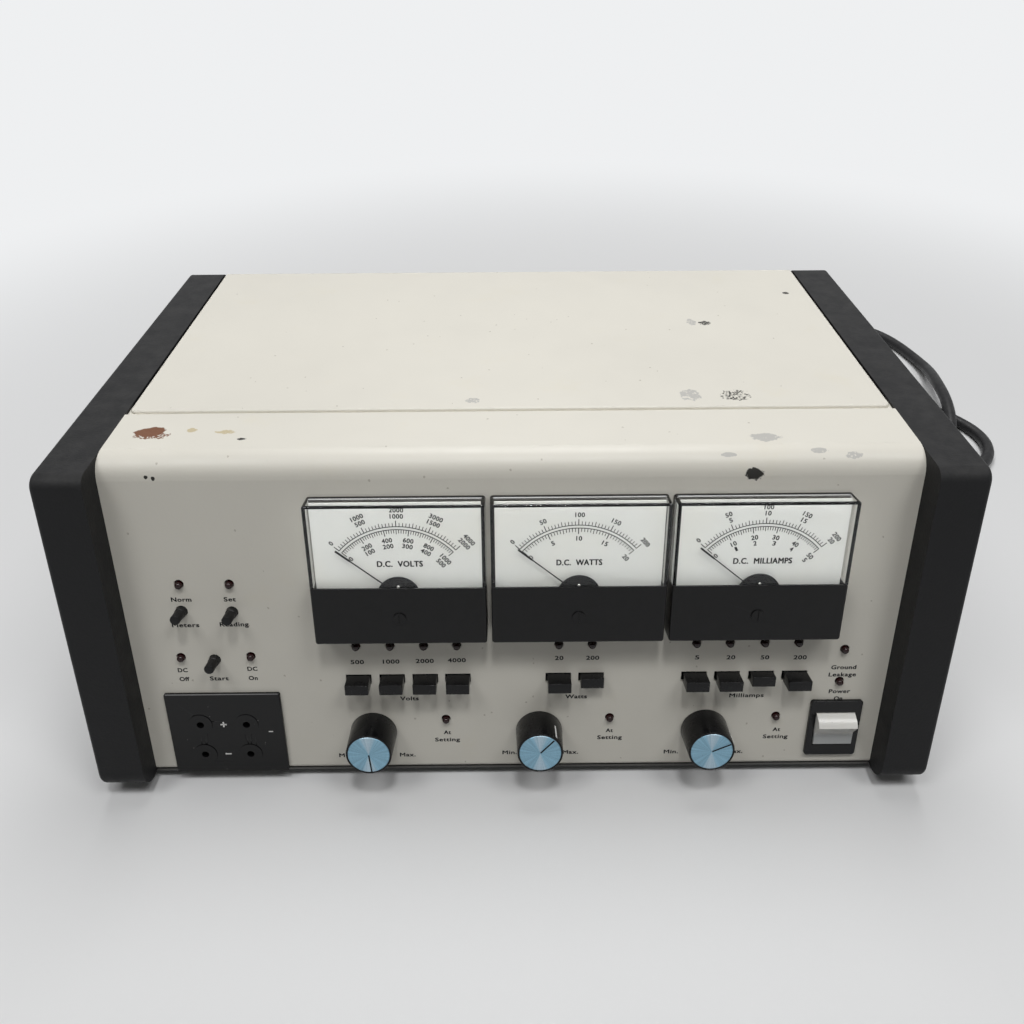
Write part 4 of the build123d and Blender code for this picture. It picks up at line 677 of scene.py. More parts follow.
def build_materials():
    """Every node group and material, from the scene's settings."""
    case = bpy.context.scene.supply_case
    lead = bpy.context.scene.supply_lead
    meters = bpy.context.scene.supply_meters
    for build in (build_edge_wear, build_blemish, build_specks, build_scratches, build_dust):
        build()
    paint_material("off_white_enamel")
    paint_material("off_white_strip", False)
    moulding_material("grained_black_moulding", case.moulding)
    moulding_material("satin_black_case", (0.0048, 0.0048, 0.005), 0.36, 1500.0, 0.00004, 0.02, 0.10,
                      (0.018, 0.018, 0.018))
    moulding_material("matte_black_plastic", (0.0055, 0.0055, 0.0058), 0.44, 1600.0, 0.00006, 0.03, 0.26,
                      (0.05, 0.048, 0.045))
    moulding_material("smooth_black_key", (0.0042, 0.0042, 0.0046), 0.27, 1600.0, 0.00003, 0.02, 0.22,
                      (0.05, 0.048, 0.045))
    gloss_material("gloss_black_plate", (0.0035, 0.0035, 0.0038), 0.14, 0.05, 0.4)
    gloss_material("gloss_black_frame", (0.0045, 0.0045, 0.005), 0.2, 0.04, 0.45)
    metal_material("bright_zinc_steel", (0.56, 0.56, 0.54), 0.34)
    # The bottom pan's steel is made far darker than plated steel: painted shade for the band under the panel's foot.
    metal_material("dull_pan_steel", (0.13, 0.13, 0.125), 0.5)
    metal_material("plated_screw", (0.62, 0.61, 0.58), 0.28, 1600.0)
    metal_material("turned_shaft", (0.60, 0.60, 0.60), 0.25, 1600.0)
    card_material()
    ink_material("dial_ink", meters.ink, (0.12, 0.12, 0.12), 0.10)
    ink_material("legend_ink", (0.010, 0.0105, 0.012), (0.20, 0.19, 0.17), 0.18)
    ink_material("white_mark", (0.80, 0.80, 0.78), (0.5, 0.5, 0.5), 0.15)
    ink_material("needle_enamel", (0.004, 0.004, 0.0045))
    window_material()
    spun_material()
    lamp_material()
    white_plastic_material()
    rubber_material("soft_black_rubber", (0.008, 0.008, 0.008))
    rubber_material("lead_sheath", lead.sheath, 0.5)
    movement_material()
    board_material()
    core_material()
    floor_material()


# ---------------------------------------------------------------- shapes

def spun(profile, steps=None):
    """Solid of revolution about Z from radius and height pairs that start and end on the axis."""
    steps = steps or bpy.context.scene.supply_controls.round_steps
    bm = bmesh.new()
    points = [bm.verts.new((radius, 0, height)) for radius, height in profile]
    lines = [bm.edges.new(pair) for pair in zip(points, points[1:])]
    bmesh.ops.spin(bm, geom=points + lines, cent=(0, 0, 0), axis=(0, 0, 1), angle=2 * pi, steps=steps,
                   use_merge=True)
    bmesh.ops.remove_doubles(bm, verts=bm.verts, dist=1e-4)
    bmesh.ops.recalc_face_normals(bm, faces=bm.faces)
    return bm


def soften(bm, width, segments=2, sharper=30):
    """Rounds every edge sharper than an angle."""
    edges = [edge for edge in bm.edges if edge.is_manifold and edge.calc_face_angle(0) > radians(sharper)]
    bmesh.ops.bevel(bm, geom=edges, offset=width, offset_type="OFFSET", segments=segments, profile=0.5,
                    affect="EDGES", clamp_overlap=True, material=-1)


def block(width, height, low, high, bm=None, place=Matrix()):
    """Rectangular solid about the Z axis between two levels."""
    bm = bm or bmesh.new()
    size = Matrix.Diagonal((width, height, high - low, 1))
    bmesh.ops.create_cube(bm, size=1, matrix=place @ Matrix.Translation((0, 0, (low + high) / 2)) @ size)
    return bm


def on_panel(u=0.0, v=0.0, d=0.0, turn=0.0):
    """A place on the leaning panel, turned clockwise from straight up it by an angle in degrees."""
    return PANEL @ Matrix.Translation((u, v, d)) @ Matrix.Rotation(-radians(turn), 4, "Z")


def finish(name, bm, place, body, material, replaced=()):
    """Makes a mesh in millimetres into a piece that stands where it belongs and rides on a body."""
    bmesh.ops.transform(bm, matrix=METRES @ place, verts=bm.verts)
    bmesh.ops.recalc_face_normals(bm, faces=bm.faces)
    mesh = bpy.data.meshes.new(name)
    bm.to_mesh(mesh)
    bm.free()
    mesh.shade_smooth()
    mesh.set_sharp_from_angle(angle=radians(32))
    mesh.materials.append(bpy.data.materials[material])
    piece = bpy.data.objects.new(name, mesh)
    bpy.context.collection.objects.link(piece)
    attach(piece, body)
    if replaced:
        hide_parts(*replaced)


def join(bm, other, place=Matrix()):
    """Adds one mesh to another, moved to its place, and frees it."""
    bmesh.ops.transform(other, matrix=place, verts=other.verts)
    mesh = bpy.data.meshes.new("joined")
    other.to_mesh(mesh)
    other.free()
    bm.from_mesh(mesh)
    bpy.data.meshes.remove(mesh)


# A capital's share of the letter size, and how far print stands proud of its face and sinks into it
CAPITAL = 0.73
PRINT_RISE, PRINT_SUNK = 0.04, 0.05


def lettering(words, height, width, weight):
    """Words as a thin solid about the origin, as high and wide as given; shifted copies thicken the strokes."""
    curve = bpy.data.curves.new("lettering", "FONT")
    curve.body = words
    curve.size = height / CAPITAL
    curve.space_character = 1.08
    curve.extrude = (PRINT_RISE + PRINT_SUNK) / 2
    curve.resolution_u = 3
    text = bpy.data.objects.new("lettering", curve)
    mesh = bpy.data.meshes.new_from_object(text)
    bm = bmesh.new()
    bm.from_mesh(mesh)
    bpy.data.objects.remove(text)
    bpy.data.curves.remove(curve)
    bpy.data.meshes.remove(mesh)
    bmesh.ops.remove_doubles(bm, verts=bm.verts, dist=1e-5)
    across = [vert.co.x for vert in bm.verts]
    low, high = min(across), max(across)
    middle = Matrix.Translation((-(low + high) / 2, -height / 2, (PRINT_RISE - PRINT_SUNK) / 2))
    stretch = Matrix.Diagonal(((width - 2 * weight) / (high - low), 1, 1, 1))
    bmesh.ops.transform(bm, matrix=stretch @ middle, verts=bm.verts)
    strokes = bm.verts[:] + bm.edges[:] + bm.faces[:]
    for step, (x, y) in enumerate(((-1, -0.5), (1, -0.5), (-0.7, 0.6), (0.7, 0.6)), 1):
        copied = bmesh.ops.duplicate(bm, geom=strokes)["geom"]
        verts = [item for item in copied if isinstance(item, bmesh.types.BMVert)]
        bmesh.ops.translate(bm, verts=verts, vec=(x * weight, y * weight, 0.003 * step))
    return bm


def dress(node, material, edge=0.0, segments=2):
    """Gives a CAD node its material and softens its edges with modifiers; its mesh is left as it is."""
    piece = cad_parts[node]
    piece.data.materials.clear()
    piece.data.materials.append(bpy.data.materials[material])
    weld = piece.modifiers.new("weld", "WELD")
    weld.merge_threshold = 1e-6
    if edge:
        bevel = piece.modifiers.new("bevel", "BEVEL")
        bevel.width = edge
        bevel.segments = segments
        bevel.limit_method = "ANGLE"
        bevel.angle_limit = radians(35)
        bevel.harden_normals = False
        bevel.use_clamp_overlap = True
    normals = piece.modifiers.new("normals", "WEIGHTED_NORMAL")
    normals.keep_sharp = True
    return piece


# ---------------------------------------------------------------- operators

class SUPPLY_OT_materials(bpy.types.Operator):
    """Build the shared node groups and every material"""
    bl_idname = "supply.materials"
    bl_label = "Materials"

    def execute(self, context):
        build_materials()
        return {"FINISHED"}


class SUPPLY_OT_case(bpy.types.Operator):
    """Dress the sheet-metal case, its side panels, feet and screws"""
    bl_idname = "supply.case"
    bl_label = "Case"

    # The strips over the key windows: width, and levels below and above the panel's face
    STRIP_WIDTH, STRIP_BACK, STRIP_FRONT = 16.0, -1.2, 0.015

    def execute(self, context):
        edge = context.scene.supply_case.edge
        for node in ("front_panel", "top_cover"):
            dress(node, "off_white_enamel", edge)
        strips = bmesh.new()
        foot, top = WINDOW_STRIP
        for row in RANGE_KEYS.values():
            for u, _ in row:
                block(self.STRIP_WIDTH, top - foot, self.STRIP_BACK, self.STRIP_FRONT, strips,
                      Matrix.Translation((u, (foot + top) / 2, 0)))
        finish("key_window_strips", strips, PANEL, "case", "off_white_strip")
        # The pan's dark steel is painted shade under the panel's foot.
        dress("bottom_pan", "dull_pan_steel", 0.0002)
        dress("rear_panel", "off_white_enamel", edge)
        for side in ("left", "right"):
            dress("side_panel_" + side, "grained_black_moulding", 0.0004)
        dress("feet", "soft_black_rubber", 0.0004)
        dress("case_screws", "plated_screw", 0.00015)
        return {"FINISHED"}


class SUPPLY_OT_meters(bpy.types.Operator):
    """Dress the meter cases, windows and needles, and print the dials"""
    bl_idname = "supply.meters"
    bl_label = "Meters"

    DIAL_LEVEL = 5.3
    ARC_V = 113.25
    UNIT_V, UNIT_HEIGHT = 132.15, 3.25
    # Levels of the arcs and ticks about the dial's face
    TICK_LOW, TICK_HIGH = -0.02, 0.05
    # Radii of the two rows of numbers on each side of the arcs
    ROWS = {"outer": (44.8, 48.1), "inner": (32.1, 28.9)}
    # How far a dial's print stands off its meter's middle, and its unit's place and width
    SHIFTS = {"volts": 0.1, "watts": -0.6, "milliamps": 1.1}
    UNITS = {"volts": (-56.5, 23.2), "watts": (33.8, 23.2), "milliamps": (126.2, 29.8)}
    SCALES = {
        "volts": {
            "outer": (40, ((0, "", "0"), (0.25, "1000", "500"), (0.5, "2000", "1000"), (0.75, "3000", "1500"),
                           (1, "4000", "2000"))),
            "inner": (50, ((0, "0", ""), (0.2, "200", "100"), (0.4, "400", "200"), (0.6, "600", "300"),
                           (0.8, "800", "400"), (1, "1000", "500"))),
            "unit": "D.C.  VOLTS",
        },
        "watts": {
            "outer": (40, ((0, "", "0"), (0.25, "", "50"), (0.5, "", "100"), (0.75, "", "150"), (1, "", "200"))),
            "inner": (40, ((0, "0", ""), (0.25, "5", ""), (0.5, "10", ""), (0.75, "15", ""), (1, "20", ""))),
            "unit": "D.C.  WATTS",
        },
        "milliamps": {
            "outer": (40, ((0, "", "0"), (0.25, "50", "5"), (0.5, "100", "10"), (0.75, "150", "15"),
                           (1, "200", "20"))),
            "inner": (50, ((0, "0", ""), (0.2, "10", "1"), (0.4, "20", "2"), (0.6, "30", "3"), (0.8, "40", "4"),
                           (1, "50", "5"))),
            "unit": "D.C.  MILLIAMPS",
        },
    }

    def print_dial(self, name, meters):
        """Arcs, ticks, numbers and unit of one dial."""
        outer = meters.outer_arc * 1000
        inner = meters.inner_arc * 1000
        tall = meters.number_height * 1000
        half = math.degrees(meters.half_sweep)
        scale = self.SCALES[name]
        bm = bmesh.new()
        for radius in (outer, inner):
            arc = bmesh.new()
            low, high, near, far = self.TICK_LOW, self.TICK_HIGH, radius - 0.2, radius + 0.2
            corners = [arc.verts.new((0, reach, level)) for reach, level in
                       ((near, low), (far, low), (far, high), (near, high))]
            face = arc.faces.new(corners)
            bmesh.ops.rotate(arc, cent=(0, 0, 0), matrix=Matrix.Rotation(radians(half), 3, "Z"), verts=arc.verts)
            bmesh.ops.spin(arc, geom=[face, *face.edges, *corners], cent=(0, 0, 0), axis=(0, 0, 1),
                           angle=-radians(2 * half), steps=72, use_duplicate=False)
            join(bm, arc)
        for side, base, way in (("outer", outer, 1), ("inner", inner, -1)):
            count, numbers = scale[side]
            rows = self.ROWS[side]
            for step in range(count + 1):
                turn = -half + 2 * half * step / count
                major, middle = step % 10 == 0, step % 5 == 0
                long = 3.2 if major else 2.5 if middle else 2.0
                wide = 0.44 if major else 0.35
                place = Matrix.Rotation(-radians(turn), 4, "Z") @ Matrix.Translation((0, base + way * long / 2, 0))
                block(wide, long, self.TICK_LOW, self.TICK_HIGH, bm, place)
            for share, far_words, near_words in numbers:
                turn = -half + 2 * half * share + 0.7
                pairs = ((near_words, rows[0]), (far_words, rows[1])) if way > 0 else (
                    (far_words, rows[0]), (near_words, rows[1]))
                for words, radius in pairs:
                    if words:
                        place = Matrix.Rotation(-radians(turn), 4, "Z") @ Matrix.Translation((0, radius, 0))
                        wide = 1.82 * len(words) - 0.12 - (0.5 if words.startswith("1") else 0)
                        join(bm, lettering(words, tall, wide, 0.11), place)
        middle, wide = self.UNITS[name]
        shift = self.SHIFTS[name]
        across = middle - METER_US[name] - shift
        join(bm, lettering(scale["unit"], self.UNIT_HEIGHT, wide, 0.17),
             Matrix.Translation((across, self.UNIT_V - self.ARC_V, 0)))
        place = on_panel(METER_US[name] + shift, self.ARC_V, self.DIAL_LEVEL)
        finish(name + "_dial_print", bm, place, "case", "dial_ink")

    def execute(self, context):
        meters = context.scene.supply_meters
        for name in METER_US:
            dress(name + "_meter_case", "satin_black_case")
            dress(name + "_meter_window", "clear_acrylic")
            dress(name + "_meter_needle", "needle_enamel")
            dress(name + "_zero_screw", "satin_black_case")
            self.print_dial(name, meters)
            screw = spun([(0, -0.2), (0.8, -0.2), (0.8, 0.15), (0.62, 0.36), (0.34, 0.5), (0, 0.55)], 24)
            finish(name + "_bridge_screw", screw, on_panel(METER_US[name], 121.2, 9.5), "case",
                   "plated_screw")
        dress("meter_dials", "dial_card")
        dress("meter_movements", "movement_black_and_steel")
        return {"FINISHED"}


class SUPPLY_OT_knobs(bpy.types.Operator):
    """Turn the control knobs and their spun caps"""
    bl_idname = "supply.knobs"
    bl_label = "Knobs"

    def execute(self, context):
        sizes = context.scene.supply_controls
        base, rim, top = (value * 1000 for value in (sizes.knob_base, sizes.knob_rim, sizes.knob_height))
        inset, cap_radius = 1.0, 11.25
        for name, (u, v) in KNOB_SPOTS.items():
            body = name + "_control"
            place = on_panel(u, v, 0, KNOB_POINTERS[name])
            knob = spun([(0, 14), (3.2, 14), (3.2, 4), (8.4, 4), (8.4, 0.6), (base, 0.6), (rim, top),
                         (cap_radius + 0.05, top), (cap_radius + 0.05, top - inset), (0, top - inset)])
            soften(knob, 0.28, 3, 50)
            finish(name + "_knob_skirt", knob, place, body, "smooth_black_key",
                   [name + "_knob"])
            cap = spun([(0, top - inset), (cap_radius, top - inset), (cap_radius, top - 0.18),
                        (cap_radius - 0.18, top), (0.35, top), (0, top - 0.12)])
            rings = cap.loops.layers.uv.new("rings")
            disc = cap.loops.layers.uv.new("disc")
            upright = Matrix.Rotation(-radians(KNOB_POINTERS[name]), 2)
            for face in cap.faces:
                for loop in face.loops:
                    spot = loop.vert.co
                    middle = face.calc_center_median()
                    turn = math.atan2(middle.y, middle.x)
                    own = math.atan2(spot.y, spot.x) if spot.xy.length > 1e-3 else turn
                    own += round((turn - own) / (2 * pi)) * 2 * pi
                    loop[rings].uv = (own * cap_radius / 10, spot.xy.length / 10)
                    loop[disc].uv = upright @ spot.xy / cap_radius
            finish(name + "_spun_cap", cap, place, body, "spun_cap_metal",
                   [name + "_knob_cap"])
            line = block(0.85, cap_radius - 0.4, -0.02, 0.06, place=Matrix.Translation((0, cap_radius / 2, top)))
            finish(name + "_cap_line", line, place, body, "dial_ink")
            slope = math.atan2(base - rim, top - 0.6)
            mark = bmesh.new()
            block(0.95, top - 4.6, -0.05, 0.10, mark)
            upright = (Matrix.Translation((0, (base + rim) / 2, (top + 3.0) / 2))
                       @ Matrix.Rotation(-pi / 2 - slope, 4, "X"))
            finish(name + "_pointer_line", mark, place @ upright, body, "white_mark")
            dress(name + "_control_shaft", "turned_shaft")
        dress("potentiometers", "bright_zinc_steel")
        return {"FINISHED"}


class SUPPLY_OT_buttons(bpy.types.Operator):
    """Dress the range keys and turn the push buttons"""
    bl_idname = "supply.buttons"
    bl_label = "Buttons"

    KEY_WIDTH, KEY_HEIGHT, KEY_OUT, KEY_V, TRAVEL = 12.4, 6.0, 10.3, 59.5, 4.5
    KEY_SHIFT = 0.3
    # How far behind a key's front its body ends, and where its square stem starts and ends
    KEY_LENGTH, STEM, STEM_FRONT, STEM_BACK = 20.0, 4.0, 19.5, 29.0

    def execute(self, context):
        for group, row in RANGE_KEYS.items():
            for u, value in row:
                button = f"{group}_{value}"
                out = self.KEY_OUT - (self.TRAVEL if button in LATCHED else 0)
                key = block(self.KEY_WIDTH, self.KEY_HEIGHT, out - self.KEY_LENGTH, out)
                block(self.STEM, self.STEM, out - self.STEM_BACK, out - self.STEM_FRONT, key)
                soften(key, 0.32, 3)
                finish(button + "_key", key, on_panel(u + self.KEY_SHIFT, self.KEY_V), button + "_button",
                       "smooth_black_key", [button + "_button"])
        dress("range_switch_banks", "matte_black_plastic")
        for name, (u, v) in PUSH_SPOTS.items():
            rod = spun([(0, -10), (2.9, -10), (2.9, -2.7), (3.9, -2.7), (3.9, -1.7), (2.9, -1.7), (2.9, 3.0),
                        (2.62, 3.3), (2.62, 9.7), (2.4, 10.15), (1.9, 10.38), (1.1, 10.47), (0, 10.5)], 40)
            soften(rod, 0.12, 2, 50)
            finish(name + "_push_rod", rod, on_panel(u, v), name + "_push_button",
                   "matte_black_plastic", [name + "_push_button"])
        dress("push_switches", "matte_black_plastic")
        return {"FINISHED"}


class SUPPLY_OT_lamps(bpy.types.Operator):
    """Turn the indicator lamps"""
    bl_idname = "supply.lamps"
    bl_label = "Lamps"

    RADIUS, STRAIGHT, ROUNDS, STEPS_AROUND = 2.0, 0.8, 7, 28
    # How far the lamps stand below the places of the CAD's
    DROP = 0.45

    def execute(self, context):
        radius, straight, rounds = self.RADIUS, self.STRAIGHT, self.ROUNDS
        dome = [(radius * cos(pi / 2 * step / rounds), straight + radius * sin(pi / 2 * step / rounds))
                for step in range(rounds + 1)]
        profile = [(0, -6), (radius, -6), (radius, -2.6), (2.95, -2.6), (2.95, -1.6), (radius, -1.6), *dome]
        bm = bmesh.new()
        for u, v in LAMP_SPOTS:
            join(bm, spun(profile, self.STEPS_AROUND), Matrix.Translation((u, v - self.DROP, 0)))
        finish("indicator_lamps", bm, PANEL, "case", "lamp_red_plastic", ["indicator_leds"])
        return {"FINISHED"}


class SUPPLY_OT_legends(bpy.types.Operator):
    """Print the plain function words and numbers on the panel"""
    bl_idname = "supply.legends"
    bl_label = "Legends"

    HEIGHT, WEIGHT = 2.55, 0.13
    # Words with the place of their middle on the panel and their width, in millimetres
    WORDS = [
        ("Norm", -172.1, 109.8, 10.6), ("Set", -146.9, 109.7, 6.3), ("Meters", -172.2, 94.6, 14.4),
        ("Reading", -146.6, 94.8, 15.2), ("DC", -178.1, 66.8, 5.3), ("Off", -178.0, 61.2, 5.4),
        ("DC", -140.5, 67.3, 5.4), ("On", -140.8, 61.4, 4.9), ("Start", -159.1, 61.4, 10.3),
        ("Volts", -56.9, 47.3, 10.2), ("Watts", 34.6, 47.6, 11.9), ("Milliamps", 128.3, 47.3, 19.0),
        ("At", -36.9, 24.5, 4.1), ("Setting", -37.0, 19.6, 14.0), ("At", 53.7, 24.8, 4.1),
        ("Setting", 54.0, 20.1, 13.9), ("At", 147.4, 24.4, 4.3), ("Setting", 147.3, 19.6, 14.0),
        ("Ground", 179.3, 64.8, 13.6), ("Leakage", 179.2, 60.2, 15.0), ("Power", 179.2, 49.4, 11.8),
        ("On", 179.1, 44.7, 4.8), ("Min.", -94.6, 9.4, 8.2), ("Max.", -59.9, 9.4, 8.9),
        ("Min.", -2.2, 10.3, 8.2), ("Max.", 32.2, 10.2, 8.9), ("Min.", 89.2, 9.8, 8.2),
        ("Max.", 125.4, 9.6, 8.9), ("500", -83.7, 70.9, 7.2), ("1000", -65.5, 71.0, 9.0),
        ("2000", -47.4, 71.2, 9.8), ("4000", -30.2, 71.5, 9.8), ("20", 24.9, 72.3, 4.7),
        ("200", 42.9, 72.2, 7.1), ("5", 99.2, 71.9, 2.4), ("20", 117.4, 71.7, 4.8), ("50", 135.8, 71.5, 4.6),
        ("200", 154.8, 71.3, 7.2),
    ]

    def execute(self, context):
        bm = bmesh.new()
        for words, u, v, width in self.WORDS:
            join(bm, lettering(words, self.HEIGHT, width, self.WEIGHT), Matrix.Translation((u, v, 0)))
        finish("panel_legends", bm, PANEL, "case", "legend_ink")
        return {"FINISHED"}


class SUPPLY_OT_sockets(bpy.types.Operator):
    """Dress the output sockets and mark their plate"""
    bl_idname = "supply.sockets"
    bl_label = "Output sockets"

    # Levels of the marks about the plate's face, and their strokes' length and thickness
    MARK_LOW, MARK_HIGH = 1.97, 2.05
    BAR, THICK = 3.4, 0.85

    def execute(self, context):
        dress("output_jack_plate", "gloss_black_plate")
        dress("output_jacks", "gloss_black_plate", 0.0002)
        bm = bmesh.new()
        # Strokes: a plus, a minus, and a short pale dash right of the plus, all drawn as white marks.
        strokes = ((-160.2, 32.5, self.BAR, self.THICK), (-160.2, 32.5, self.THICK, self.BAR),
                   (-160.1, 12.7, self.BAR, self.THICK), (-134.6, 27.6, 2.4, 0.6))
        for u, v, width, height in strokes:
            block(width, height, self.MARK_LOW, self.MARK_HIGH, bm, Matrix.Translation((u, v, 0)))
        finish("polarity_marks", bm, PANEL, "case", "white_mark")
        return {"FINISHED"}


class SUPPLY_OT_switch(bpy.types.Operator):
    """Dress the power switch"""
    bl_idname = "supply.switch"
    bl_label = "Power switch"

    def execute(self, context):
        dress("power_switch_frame", "gloss_black_frame")
        dress("power_rocker", "white_rocker_plastic", 0.0007, 3)
        return {"FINISHED"}


class SUPPLY_OT_inside(bpy.types.Operator):
    """Dress the parts inside the case and the fittings at its back"""
    bl_idname = "supply.inside"
    bl_label = "Inside and back"

    # Each node with its material and the rounding of its edges, in metres
    FITTINGS = (
        ("circuit_board", "circuit_laminate", 0.0), ("mains_transformer", "core_and_winding", 0.0003),
        ("high_voltage_transformer", "satin_black_case", 0.0006), ("cord_gland", "soft_black_rubber", 0.0003),
        ("fuse_holder", "matte_black_plastic", 0.0003),
    )

    def execute(self, context):
        for node, material, edge in self.FITTINGS:
            dress(node, material, edge)
        return {"FINISHED"}


class SUPPLY_OT_lead(bpy.types.Operator):
    """Lay the mains lead with its spare coil, and dress its plug"""
    bl_idname = "supply.lead"
    bl_label = "Mains lead"

    # The route's points from the gland to the coil, in metres
    ROUTE = [
        (0.060, 0.16301, 0.038), (0.060, 0.201, 0.038), (0.064, 0.247, 0.018), (0.078, 0.295, 0.005),
        (0.112, 0.345, 0.005), (0.166, 0.383, 0.005), (0.232, 0.408, 0.005), (0.300, 0.429, 0.005),
        (0.349, 0.455, 0.005), (0.393, 0.450, 0.005), (0.422, 0.419, 0.005), (0.434, 0.350, 0.006),
        (0.419, 0.299, 0.0195), (0.411, 0.247, 0.0195), (0.400, 0.204, 0.005), (0.359, 0.179, 0.005),
        (0.311, 0.189, 0.005), (0.285, 0.229, 0.005), (0.294, 0.274, 0.005), (0.328, 0.299, 0.005),
        (0.366, 0.299, 0.005), (0.397, 0.275, 0.005), (0.427, 0.233, 0.005), (0.431, 0.203, 0.005),
        (0.419, 0.175, 0.005), (0.387, 0.151, 0.005), (0.338, 0.151, 0.005), (0.285, 0.163, 0.005),
        (0.240, 0.178, 0.005), (0.195, 0.178, 0.005),
    ]
    # Arcs of the coil: middle, radius, start and end angle in degrees, start and end height
    ARCS = [
        ((0.195, 0.2380), 0.0600, -90, -270, 0.005, 0.005),
        ((0.195, 0.2435), 0.0545, 90, -90, 0.005, 0.005),
        ((0.195, 0.2390), 0.0500, -90, -270, 0.005, 0.0155),
        ((0.195, 0.2345), 0.0545, 90, -90, 0.0155, 0.0155),
        ((0.195, 0.2400), 0.0600, -90, -180, 0.0155, 0.0155),
        ((0.205, 0.2400), 0.0700, 180, 90, 0.0155, 0.0155),
    ]
    PLUG_START = (0.215, 0.310, 0.0155)

    def execute(self, context):
        lead = context.scene.supply_lead
        step = 360 / lead.turn_points
        points = list(self.ROUTE)
        for (x, y), radius, start, end, low, high in self.ARCS:
            count = round(abs(end - start) / step)
            wide = radius / cos(radians(step) / 2)
            for index in range(count):
                share = (index + 0.5) / count
                angle = radians(start + (end - start) * share)
                points.append((x + wide * cos(angle), y + wide * sin(angle), low + (high - low) * share))
        points += [(0.205, 0.310, 0.0155), self.PLUG_START]
        curve = bpy.data.curves.new("mains_lead", "CURVE")
        curve.dimensions = "3D"
        curve.bevel_depth = lead.diameter / 2
        curve.bevel_resolution = 5
        curve.resolution_u = 8
        curve.use_fill_caps = True
        spline = curve.splines.new("NURBS")
        spline.points.add(len(points) - 1)
        for spot, point in zip(spline.points, points):
            spot.co = (*point, 1)
        spline.order_u = 3
        spline.use_endpoint_u = True
        curve.materials.append(bpy.data.materials["lead_sheath"])
        cord = bpy.data.objects.new("mains_lead", curve)
        context.collection.objects.link(cord)
        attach(cord, "case")
        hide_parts("mains_cord", "cord_coil")
        plug = dress("mains_plug", "soft_black_rubber", 0.0004)
        return {"FINISHED"}


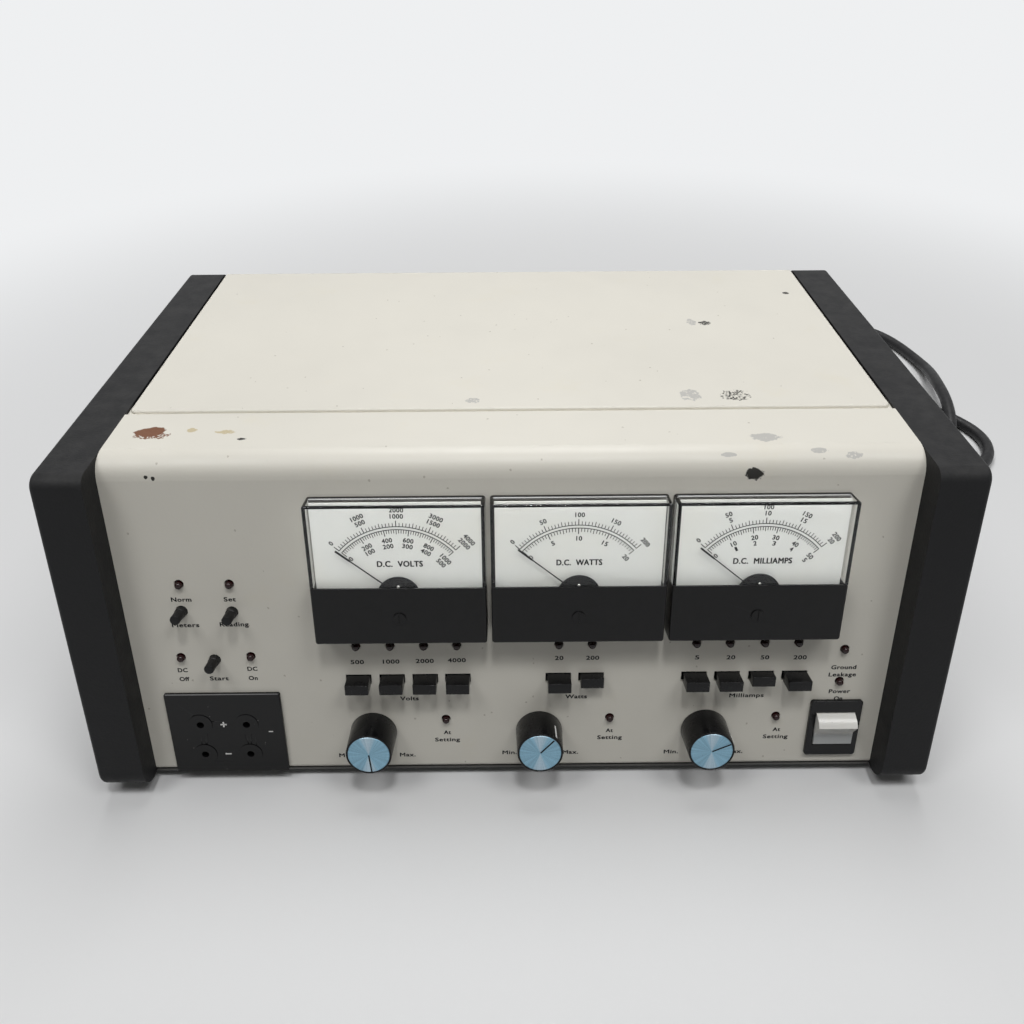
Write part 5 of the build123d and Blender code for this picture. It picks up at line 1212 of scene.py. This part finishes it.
class SUPPLY_OT_stage(bpy.types.Operator):
    """Set the pale floor, the soft lamps and the camera"""
    bl_idname = "supply.stage"
    bl_label = "Stage"

    CAMERA = (-0.00152, -0.42292, 0.40920)
    YAW, PITCH, ROLL = radians(0.282), radians(37.347), radians(-0.320)
    FOCAL_PIXELS, FRAME_PIXELS = 824.48, 1024
    FLOOR_HALF, FLOOR_SQUARES = 6, 8
    # Lamps: name, place, size and the setting that holds the power
    LAMPS = (
        ("left_lamp", (-0.92, -0.66, 2.05), 0.8, "front_power"),
        ("right_lamp", (0.92, -0.66, 2.05), 0.8, "front_power"),
        ("small_lamp", (0.06, -0.62, 2.10), 0.3, "key_power"),
        ("back_lamp", (0.05, 0.85, 2.00), 1.1, "back_power"),
    )

    def add_camera(self, context):
        forward = Vector((sin(self.YAW), cos(self.YAW), 0))
        right = Vector((cos(self.YAW), -sin(self.YAW), 0))
        up = Vector((0, 0, 1))
        ahead = cos(self.PITCH) * forward - sin(self.PITCH) * up
        above = sin(self.PITCH) * forward + cos(self.PITCH) * up
        across = cos(self.ROLL) * right + sin(self.ROLL) * above
        upright = -sin(self.ROLL) * right + cos(self.ROLL) * above
        data = bpy.data.cameras.new("photo_camera")
        data.sensor_fit = "HORIZONTAL"
        data.sensor_width = 36.0
        data.lens = self.FOCAL_PIXELS / self.FRAME_PIXELS * data.sensor_width
        data.clip_start, data.clip_end = 0.01, 60
        camera = bpy.data.objects.new("photo_camera", data)
        turn = Matrix((across, upright, -ahead)).transposed().to_4x4()
        camera.matrix_world = Matrix.Translation(self.CAMERA) @ turn
        context.collection.objects.link(camera)
        context.scene.camera = camera

    def add_lamp(self, context, name, spot, size, power):
        data = bpy.data.lights.new(name, "AREA")
        data.shape = "DISK"
        data.size = size
        data.energy = getattr(context.scene.supply_stage, power)
        lamp = bpy.data.objects.new(data.name, data)
        aim = Vector((0, 0, 0.1)) - Vector(spot)
        lamp.matrix_world = Matrix.Translation(spot) @ aim.to_track_quat("-Z", "Y").to_matrix().to_4x4()
        context.collection.objects.link(lamp)

    def add_world(self, context):
        stage = context.scene.supply_stage
        world = bpy.data.worlds.new("pale_room")
        context.scene.world = world
        world.use_nodes = True
        nodes = Nodes(world.node_tree)
        room = world.node_tree.nodes["Background"]
        nodes.put(room.inputs["Color"], (1.0, 0.99, 0.97))
        nodes.put(room.inputs["Strength"], stage.room)
        seen = nodes.add("Background", {0: tuple(stage.backdrop), 1: 1.0})
        path = nodes.add("LightPath").outputs
        straight = nodes.sum("MAXIMUM", path["Is Camera Ray"], path["Is Transmission Ray"])
        shown = nodes.sum("MAXIMUM", straight, nodes.sum("MULTIPLY", path["Is Glossy Ray"], 0.6))
        mixed = nodes.add("MixShader", {0: shown, 1: room.outputs[0], 2: seen.outputs[0]})
        nodes.put(world.node_tree.nodes["World Output"].inputs["Surface"], mixed.outputs[0])

    def execute(self, context):
        bm = bmesh.new()
        bmesh.ops.create_grid(bm, x_segments=self.FLOOR_SQUARES, y_segments=self.FLOOR_SQUARES, size=self.FLOOR_HALF)
        mesh = bpy.data.meshes.new("floor")
        bm.to_mesh(mesh)
        bm.free()
        mesh.materials.append(bpy.data.materials["pale_floor"])
        floor = bpy.data.objects.new("floor", mesh)
        context.collection.objects.link(floor)
        for name, spot, size, power in self.LAMPS:
            self.add_lamp(context, name, spot, size, power)
        self.add_world(context)
        self.add_camera(context)
        context.scene.view_settings.view_transform = "Standard"
        return {"FINISHED"}


STEPS = (
    SUPPLY_OT_materials, SUPPLY_OT_case, SUPPLY_OT_meters, SUPPLY_OT_knobs, SUPPLY_OT_buttons,
    SUPPLY_OT_lamps, SUPPLY_OT_legends, SUPPLY_OT_sockets, SUPPLY_OT_switch, SUPPLY_OT_inside,
    SUPPLY_OT_lead, SUPPLY_OT_stage,
)


class SUPPLY_PT_sidebar(bpy.types.Panel):
    """Lists the supply's pieces and their settings"""
    bl_idname = "SUPPLY_PT_sidebar"
    bl_label = "Power supply"
    bl_space_type = "VIEW_3D"
    bl_region_type = "UI"
    bl_category = "Supply"

    def draw(self, context):
        for step in STEPS:
            self.layout.operator(step.bl_idname)
        for name, group in SETTINGS.items():
            box = self.layout.box()
            for prop in group.__annotations__:
                box.prop(getattr(context.scene, name), prop)


def register():
    for group in SETTINGS.values():
        bpy.utils.register_class(group)
    for name, group in SETTINGS.items():
        setattr(bpy.types.Scene, name, PointerProperty(type=group))
    for step in STEPS:
        bpy.utils.register_class(step)
    bpy.utils.register_class(SUPPLY_PT_sidebar)


def unregister():
    bpy.utils.unregister_class(SUPPLY_PT_sidebar)
    for step in reversed(STEPS):
        bpy.utils.unregister_class(step)
    for name, group in SETTINGS.items():
        delattr(bpy.types.Scene, name)
        bpy.utils.unregister_class(group)


def main():
    register()
    for step in STEPS:
        group, call = step.bl_idname.split(".")
        getattr(getattr(bpy.ops, group), call)()


if __name__ == "__main__":
    main()
